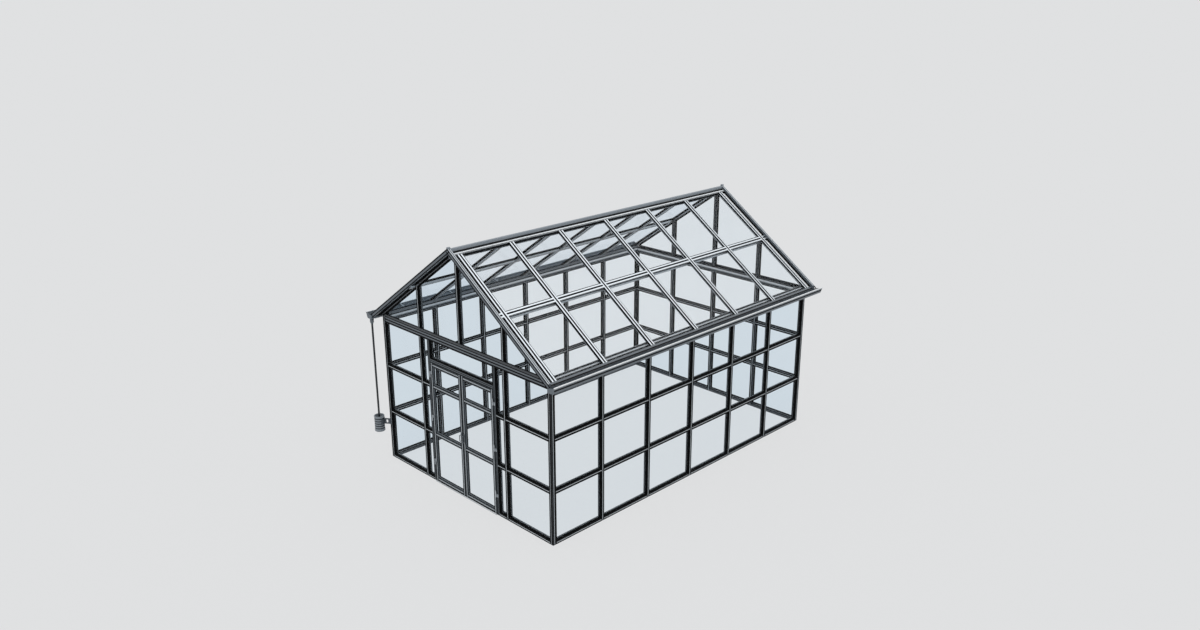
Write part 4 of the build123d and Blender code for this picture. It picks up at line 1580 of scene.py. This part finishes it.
@dataclass
class RibbedPot:
    """The small rain pot under the downpipe, spun from sheet with hoops round it.

    Attributes:
        palette: The materials.
        wall: The thickness of its sheet.
        edge: How far its rim and foot stand proud of its side.
        floor: The height of its underside.
        hoop_count: How many grooves run round it.
        groove: The depth of a groove.
        groove_half: Half the width of a groove.
        rim_height: The height of the plain rim.
        foot_height: The height of the plain foot band.
        steps: The number of facets round it.
    """

    palette: Palette
    wall: float = 0.003
    edge: float = 0.003
    floor: float = 0.006
    hoop_count: int = 5
    groove: float = 0.007
    groove_half: float = 0.009
    rim_height: float = 0.024
    foot_height: float = 0.034
    steps: int = 64

    def levels(self, height: float) -> list[float]:
        """Give the heights of the grooves' middles on a pot of one height."""
        span = height - self.rim_height - self.foot_height
        return [self.foot_height + span * (index + 0.5) / self.hoop_count for index in range(self.hoop_count)]

    def profile(self, radius: float, height: float) -> Pairs:
        """Give the pot's half section from the underside's middle round to the inside floor.

        Args:
            radius: The outer radius.
            height: The height.

        Returns:
            Pairs of radius and height above the base.
        """
        side, floor, edge = radius - self.edge, self.floor, self.edge
        points = [(0.0, floor), (side - 0.014, floor), (side - 0.010, 0.0), (side, 0.0), (radius, edge)]
        points += [(radius, self.foot_height - 0.004), (side, self.foot_height)]
        deep, half = side - self.groove, self.groove_half
        for middle in self.levels(height):
            points += [(side, middle - half), (deep, middle - half * 0.5)]
            points += [(deep, middle + half * 0.5), (side, middle + half)]
        rim, inner, inside = height - self.rim_height, deep - self.wall, floor * 2
        points += [(side, rim), (radius, rim + 0.004), (radius, height - edge), (radius - edge, height)]
        points += [(inner + 0.002, height), (inner, height - 0.004), (inner, inside), (0.0, inside)]
        return points

    def build(self) -> None:
        """Model the pot by spinning its half section, and let it stand for the CAD pot."""
        low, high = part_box("rain_pot")
        middle, radius, height = (low + high) / 2, (high.x - low.x) / 2, high.z - low.z
        pot = turned(self.profile(radius, height), self.steps)
        pot.location = (middle.x, middle.y, low.z)
        apply_place(pot)
        pot.name = pot.data.name = "ribbed_rain_pot"
        self.palette.dress(pot, GRAPHITE_POT, "house", "pot_metal")
        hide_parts("rain_pot")
        self.build_bands(Vector((middle.x, middle.y, low.z)), radius, height)

    def build_bands(self, foot: Vector, radius: float, height: float) -> None:
        """Set a near-black band deep in every groove, darkening the groove.

        Args:
            foot: The middle of the pot's underside.
            radius: Its outer radius.
            height: Its height.
        """
        inner, outer = radius - self.edge - self.groove - 0.001, radius - 0.005
        half = self.groove_half * 0.95
        section = [(inner, -half), (outer, -half), (outer, half), (inner, half), (inner, -half)]
        source = turned(section, self.steps)
        bands = [copy_to(source, Matrix.Translation(foot + UP * level)) for level in self.levels(height)]
        self.palette.join_copies(source, bands, "rain_pot_bands", RUBBER)


# ---- Small fixings ----


@dataclass
class Fixings:
    """Screws and cleats, each modelled once and copied.

    Attributes:
        palette: The materials.
        lines: The lines of the bars.
        head_radius: The radius of a screw's head.
        small: The size of the doors' screws beside the usual one.
        screw_inset: How far from a rail's end its screw stands.
        cleat_length: The length of a cleat.
        cleat_drop: How far under the middle of the rail's face its corner lies.
        cleat_inset: How far into the rail it lies.
    """

    palette: Palette
    lines: HouseLines
    head_radius: float = 0.0055
    small: float = 0.7
    screw_inset: float = 0.045
    cleat_length: float = 0.024
    cleat_drop: float = 0.030
    cleat_inset: float = 0.026

    def place(self, name: str, places: Iterable[tuple[Point, Vector]], body: str, size: float = 1.0) -> None:
        """Set a pan-head screw with a socket at each place.

        Args:
            name: The new piece's name.
            places: Points on the faces with the ways that they look.
            body: The CAD body that they ride on.
            size: The screws' size beside the usual one.
        """
        r = self.head_radius * size
        head = [(0.0, -0.0006), (r, -0.0006), (r, r * 0.25), (r * 0.7, r * 0.55), (r * 0.36, r * 0.6)]
        source = turned([*head, (r * 0.30, r * 0.25), (0.0, r * 0.25)], 10)
        screws = [copy_to(source, turn_to(point, out)) for point, out in places]
        self.palette.join_copies(source, screws, name, BRUSHED_STEEL, body, "steel_fittings")

    def build_cap_screws(self) -> None:
        """Set a screw near each end of every wall rail's cap."""
        for wall, facings in WALLS.items():
            places = [
                (run.centre + run.along * way * (run.length / 2 - self.screw_inset), run.out)
                for facing in facings
                for run in flat_runs(f"{wall}_rails", facing.out)
                for way in SIGNS
            ]
            self.place(f"{wall}_rails_screws", places, "house")

    def build_cleats(self) -> None:
        """Fit an angle cleat under each end of every wall rail, inside the house."""
        angle = [(0.0, 0.0), (0.032, 0.0), (0.032, -0.003), (0.006, -0.003)]
        source = extrusion([*angle, (0.003, -0.006), (0.003, -0.032), (0.0, -0.032)])
        cleats = []
        for wall, facings in WALLS.items():
            for facing in facings:
                out = -facing.out
                for run in flat_runs(f"{wall}_rails", out, self.lines.inner_depth(facing)):
                    for way in SIGNS:
                        end = run.centre + run.along * way * run.length / 2
                        corner = end - UP * self.cleat_drop - out * self.cleat_inset
                        turn = Matrix((out, -run.along * way, UP)).transposed().to_4x4()
                        cleats.append(copy_to(source, Matrix.Translation(corner) @ turn, self.cleat_length))
        self.palette.join_copies(source, cleats, "rail_cleats", SLATE_BEAM, "house", "wall_bars")

    def build(self) -> None:
        """Model the fixings of the walls."""
        self.build_cap_screws()
        self.build_cleats()


# ---- Doors ----


@dataclass
class DoorLeaf:
    """The beads, seals and fittings of one door leaf.

    Attributes:
        side: The leaf's side, left or right.
        strips: What lays the strips.
        rubbers: What frames the panes.
        fixings: What sets the screws.
        bead: The section of the glazing beads.
        rubber: The section of the rubbers inside the beads.
        inner_face: How far back the leaf's inner face lies.
        plate_face: How far forward the handle's plate lies.
        hinge_face: How far forward the hinges' plates lie.
        hinge_x: How far from the middle the screws of the hinges stand.
        lock_half: Half the width of the lock's plate inside.
        lock_sheet: Its thickness.
        lock_rise: How far over the handle plate's foot the cylinder lies.
        knob_rise: How far over it the thumb turn lies.
        bolt_x: How far from the middle the bolts stand.
        bolt_y: How far back they stand.
        bolt_length: The length of a bolt.
        keeps: How far over a bolt's foot its keeps lie.
    """

    side: str
    strips: FaceStrips
    rubbers: GlazingRubbers
    fixings: Fixings
    bead: Ring = Ring(0.0, 0.013, 0.0, 0.013)
    rubber: Ring = Ring(0.013, 0.007, 0.0, 0.006)
    inner_face: float = 0.0395
    plate_face: float = -0.010
    hinge_face: float = -0.008
    hinge_x: float = 0.736
    lock_half: float = 0.015
    lock_sheet: float = 0.0035
    lock_rise: float = 0.022
    knob_rise: float = 0.055
    bolt_x: float = 0.033
    bolt_y: float = 0.047
    bolt_length: float = 0.18
    keeps: tuple[float, float] = (0.02, 0.14)

    @property
    def body(self) -> str:
        """Give the CAD body that the leaf's pieces ride on."""
        return f"{self.side}_door"

    @property
    def sign(self) -> float:
        """Give the side as a sign, -1 for the left."""
        return -1.0 if self.side == "left" else 1.0

    def build_glazing(self) -> None:
        """Model the beads and rubbers on both sides of the leaf's panes."""
        for name, out in LEAF_FACES:
            for ring, kind, finish in ((self.bead, "beads", SLATE_DOOR), (self.rubber, "rubbers", RUBBER)):
                piece = f"{self.body}_{name}_{kind}"
                self.rubbers.build(f"{self.body}_glass", out, (ring,), piece, self.body, finish=finish)

    def build_seals(self) -> None:
        """Lay seals, and pale lines painted as highlights, along the stiles and rails, and a brush at the
        meeting stile.
        """
        for name, out in LEAF_FACES:
            piece = f"{self.body}_{name}"
            sides = [BarSide(f"{self.body}_{part}s", out) for part in ("stile", "rail")]
            line = Strip(f"{piece}_lines", 0.009, CAP_HIGHLIGHT_LINE, slot="door_bars", body=self.body)
            self.strips.lay(line, sides)
            for side, part, shift in zip(sides, ("stile", "rail"), (0.0205, 0.0225)):
                seal = Strip(f"{piece}_{part}_seals", 0.014, RUBBER, (-shift, shift), body=self.body)
                self.strips.lay(seal, [side])
        if self.side == "right":
            low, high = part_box("right_door_stiles")
            corners = (low.x - 0.005, 0.010, low.z + 0.004), (low.x + 0.001, 0.024, high.z - 0.004)
            brush = join_pieces([block(*corners, 0.002)], "right_door_meeting_brush")
            self.strips.palette.dress(brush, RUBBER, self.body)

    def build_lock(self) -> None:
        """Fit the lock cylinder under the pull, and the plate and thumb turn inside the leaf."""
        low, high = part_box(f"{self.body}_handle")
        x, inner = (low.x + high.x) / 2, self.inner_face
        rim = [(0.0, -0.001), (0.0085, -0.001), (0.0085, 0.0035), (0.0075, 0.0045), (0.003, 0.0045)]
        cylinder = turned([*rim, (0.003, 0.003), (0.0, 0.003)], 20)
        cylinder.data.transform(turn_to((x, self.plate_face, low.z + self.lock_rise), Facing.FRONT.out))
        outer, half = inner + self.lock_sheet, self.lock_half
        plate = block((x - half, inner, low.z + 0.01), (x + half, outer, high.z - 0.01), 0.0015)
        stem = [(0.0, -0.001), (0.007, -0.001), (0.007, 0.008), (0.0125, 0.010), (0.0125, 0.017)]
        knob = turned([*stem, (0.011, 0.019), (0.0, 0.019)], 16)
        knob.data.transform(turn_to((x, outer, low.z + self.knob_rise), Facing.REAR.out))
        lock = join_pieces([cylinder, plate, knob], f"{self.body}_lock_set")
        self.strips.palette.dress(lock, BRUSHED_STEEL, self.body, "steel_fittings")

    def build_bolts(self) -> None:
        """Fit a drop bolt with two keeps at the top and bottom of the meeting stile, inside."""
        low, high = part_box(f"{self.body}_stiles")
        x, inner, length = self.sign * self.bolt_x, self.inner_face, self.bolt_length
        parts = []
        for foot in (low.z + 0.01, high.z - 0.01 - length):
            half = [(0.0, 0.0), (0.0045, 0.0), (0.005, 0.001), (0.005, length - 0.001), (0.0045, length)]
            rod = turned([*half, (0.0, length)], 12)
            rod.location = (x, self.bolt_y, foot)
            apply_place(rod)
            parts.append(rod)
            for z in (foot + rise for rise in self.keeps):
                parts.append(block((x - 0.012, inner, z), (x + 0.012, inner + 0.014, z + 0.014), 0.003))
        bolts = join_pieces(parts, f"{self.body}_drop_bolts")
        self.strips.palette.dress(bolts, BRUSHED_STEEL, self.body, "steel_fittings")

    def build_screws(self) -> None:
        """Fix the handle plate and the hinge plates with screws."""
        low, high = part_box(f"{self.body}_handle")
        x, front = (low.x + high.x) / 2, Facing.FRONT.out
        places = [((x, self.plate_face, z), front) for z in (low.z + 0.008, high.z - 0.008)]
        places += [
            ((self.sign * self.hinge_x, self.hinge_face, z + rise), front)
            for z in HINGE_HEIGHTS
            for rise in HINGE_SCREWS
        ]
        self.fixings.place(f"{self.body}_screws", places, self.body, self.fixings.small)

    def build(self) -> None:
        """Model everything that the leaf carries."""
        self.build_glazing()
        self.build_seals()
        self.build_lock()
        self.build_bolts()
        self.build_screws()


@dataclass
class Doorway:
    """The seals and fixings of the door's jambs, head and threshold.

    Attributes:
        strips: What lays the strips.
        fixings: What sets the screws.
        hinge_x: How far from the middle the screws of the hinges stand.
        hinge_face: How far forward the hinges' plates lie.
        jamb_seals: How far from the middle each jamb's two seals stand.
        grip_rows: Where the threshold's grips lie across it.
    """

    strips: FaceStrips
    fixings: Fixings
    hinge_x: float = 0.779
    hinge_face: float = -0.003
    jamb_seals: tuple[tuple[str, float], ...] = (("near", 0.7655), ("far", 0.7880))
    grip_rows: tuple[float, ...] = (-0.002, 0.016, 0.034, 0.052)

    def build(self) -> None:
        """Lay the jamb and head seals and the threshold's grips, and screw on the hinges."""
        front = Facing.FRONT.out
        low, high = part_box("door_jambs")
        foot, top = low.z + 0.002, high.z - 0.002
        for name, x in self.jamb_seals:
            lines = [((sign * x, 0.0, foot), (sign * x, 0.0, top), front) for sign in SIGNS]
            self.strips.draw(Strip(f"jamb_{name}_seals", 0.012, RUBBER), lines)
        inner = [BarSide("door_jambs", -front, high.y)]
        self.strips.lay(Strip("jamb_inner_beads", 0.014, RUBBER, (-0.022, 0.022)), inner)
        self.strips.lay(Strip("head_seals", 0.012, RUBBER, (-0.025, 0.002)), [BarSide("door_head", front)])
        low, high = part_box("door_threshold")
        grips = [((low.x + 0.01, y, high.z), (high.x - 0.01, y, high.z), UP) for y in self.grip_rows]
        self.strips.draw(Strip("threshold_grips", 0.006, STRIP, proud=0.0008), grips)
        places = [
            ((sign * self.hinge_x, self.hinge_face, z - drop), front)
            for sign in SIGNS
            for z in HINGE_HEIGHTS
            for drop in HINGE_SCREWS
        ]
        self.fixings.place("jamb_hinge_screws", places, "house", self.fixings.small)


# ---- Studio ----


@dataclass
class Studio:
    """The pale floor, the soft lights and the camera.

    Attributes:
        backdrop: The colour of the floor and of what lies beyond it.
        floor_size: The floor's side.
        floor_glow: The share of the floor's colour that no shadow darkens.
        sky_level: The strength of the even light from all round.
        overhead: The colour of the softbox overhead, as shiny surfaces mirror it.
        softbox_rise: How high a mirrored ray points where the softbox starts and is full.
        lamp_power: The strength of the soft lamp overhead.
        lamp_spread: The lamp's angle, which makes its shadows soft.
        lamp_place: Where it hangs.
        lamp_tilt: How it is turned.
        camera_place: Where the camera stands.
        camera_tilt: How far it is tilted up from straight down.
        camera_turn: How far it is turned round.
        camera_lens_mm: Its focal length.
        sensor_mm: The width of its sensor.
        clear_bounces: How many panes a ray may pass.
    """

    backdrop: str = "#E0E1E2"
    floor_size: float = 900.0
    floor_glow: float = 0.9
    sky_level: float = 0.78
    overhead: tuple[float, float, float, float] = (1.9, 1.9, 1.9, 1.0)
    softbox_rise: tuple[float, float] = (0.35, 0.70)
    lamp_power: float = 0.72
    lamp_spread: float = math.radians(70.0)
    lamp_place: tuple[float, float, float] = (6.0, -4.0, 12.0)
    lamp_tilt: tuple[float, float, float] = (math.radians(22.0), math.radians(16.0), 0.0)
    camera_place: tuple[float, float, float] = (11.427, -8.499, 7.832)
    camera_tilt: float = math.radians(71.055)
    camera_turn: float = math.radians(44.957)
    camera_lens_mm: float = 30.57
    sensor_mm: float = 36.0
    clear_bounces: int = 48

    def seen_rays(self, tree: Tree) -> Socket:
        """Give 1 for the rays that see a surface, straight, in a mirror or through glass.

        Args:
            tree: The node tree.

        Returns:
            The socket.
        """
        rays = add_node(tree, "LightPath").outputs
        kinds = {0: rays["Is Glossy Ray"], 1: rays["Is Transmission Ray"]}
        shiny = add_node(tree, "Math", links=kinds, operation="MAXIMUM").outputs[0]
        kinds = {0: shiny, 1: rays["Is Camera Ray"]}
        return add_node(tree, "Math", links=kinds, operation="MAXIMUM").outputs[0]

    def lay_floor(self) -> None:
        """Lay the floor at ground level."""
        deselect_all()
        bpy.ops.mesh.primitive_plane_add(size=self.floor_size)
        floor = bpy.context.object
        floor.name = "studio_floor"
        material = bpy.data.materials.new("matt_studio_floor")
        material.use_nodes = True
        tree = material.node_tree
        tree.nodes.clear()
        colour = srgb(self.backdrop)
        matt = add_node(tree, "BsdfDiffuse", {"Color": colour, "Roughness": 0.0}).outputs[0]
        glow = add_node(tree, "Emission", {"Color": colour, "Strength": 1.0}).outputs[0]
        seen = {0: self.seen_rays(tree)}
        share = add_node(tree, "Math", {1: self.floor_glow}, seen, operation="MULTIPLY").outputs[0]
        surface = add_node(tree, "MixShader", links={0: share, 1: matt, 2: glow}).outputs[0]
        add_node(tree, "OutputMaterial", links={"Surface": surface})
        floor.data.materials.append(material)

    def light_sky(self) -> None:
        """Light the scene evenly, and show shiny surfaces the backdrop below and a softbox above."""
        world = bpy.data.worlds.new("studio_sky")
        bpy.context.scene.world = world
        world.use_nodes = True
        tree = world.node_tree
        tree.nodes.clear()
        even = add_node(tree, "Background", {"Color": WHITE, "Strength": self.sky_level}).outputs[0]
        way = add_node(tree, "TexCoord").outputs["Generated"]
        height = add_node(tree, "SeparateXYZ", links={0: way}).outputs["Z"]
        start, full = self.softbox_rise
        span = {"From Min": start, "From Max": full, "To Min": 0.0, "To Max": 1.0}
        rise = add_node(tree, "MapRange", span, {"Value": height}).outputs["Result"]
        mirror = add_node(tree, "LightPath").outputs["Is Glossy Ray"]
        share = add_node(tree, "Math", links={0: rise, 1: mirror}, operation="MULTIPLY").outputs[0]
        ends = {"A": srgb(self.backdrop), "B": self.overhead}
        shade = add_node(tree, "Mix", ends, {"Factor": share}, data_type="RGBA").outputs["Result"]
        pale = add_node(tree, "Background", {"Strength": 1.0}, {"Color": shade}).outputs[0]
        mixed = add_node(tree, "MixShader", links={0: self.seen_rays(tree), 1: even, 2: pale}).outputs[0]
        add_node(tree, "OutputWorld", links={"Surface": mixed})

    def hang_lamp(self) -> None:
        """Add the wide soft lamp high above the front right corner."""
        deselect_all()
        bpy.ops.object.light_add(type="SUN", location=self.lamp_place)
        lamp = bpy.context.object
        lamp.name = "soft_overhead_lamp"
        lamp.data.energy = self.lamp_power
        lamp.data.angle = self.lamp_spread
        lamp.rotation_euler = self.lamp_tilt

    def set_camera(self) -> None:
        """Make the camera that looks at the front right corner from above."""
        deselect_all()
        turn = (self.camera_tilt, 0.0, self.camera_turn)
        bpy.ops.object.camera_add(location=self.camera_place, rotation=turn)
        camera = bpy.context.object
        camera.name = "camera"
        camera.data.lens = self.camera_lens_mm
        camera.data.sensor_width = self.sensor_mm
        camera.data.clip_end = self.floor_size * 2
        bpy.context.scene.camera = camera

    def build(self) -> None:
        """Set up the whole studio."""
        self.lay_floor()
        self.light_sky()
        self.hang_lamp()
        self.set_camera()
        scene = bpy.context.scene
        scene.view_settings.view_transform = "Standard"
        scene.cycles.transparent_max_bounces = self.clear_bounces


def main() -> None:
    """Build the studio and every piece in order."""
    logging.basicConfig(level=logging.INFO, format="%(name)s: %(message)s", stream=sys.stdout)
    Studio().build()
    palette = Palette()
    palette.dress_nodes()
    lines = HouseLines.read()
    LOG.info("rafter lines %s, purlin at %.4f, %.4f", lines.rafter_lines, lines.purlin_x, lines.purlin_z)
    rubbers = GlazingRubbers(palette)
    rubbers.build_walls()
    rubbers.build_roof(lines)
    strips = FaceStrips(palette)
    WallTrim(strips, lines).build()
    RoofTrim(strips).build()
    GutterFittings(palette).build()
    RibbedPot(palette).build()
    fixings = Fixings(palette, lines)
    fixings.build()
    Doorway(strips, fixings).build()
    for side in ("left", "right"):
        DoorLeaf(side, strips, rubbers, fixings).build()


if __name__ == "__main__":
    main()
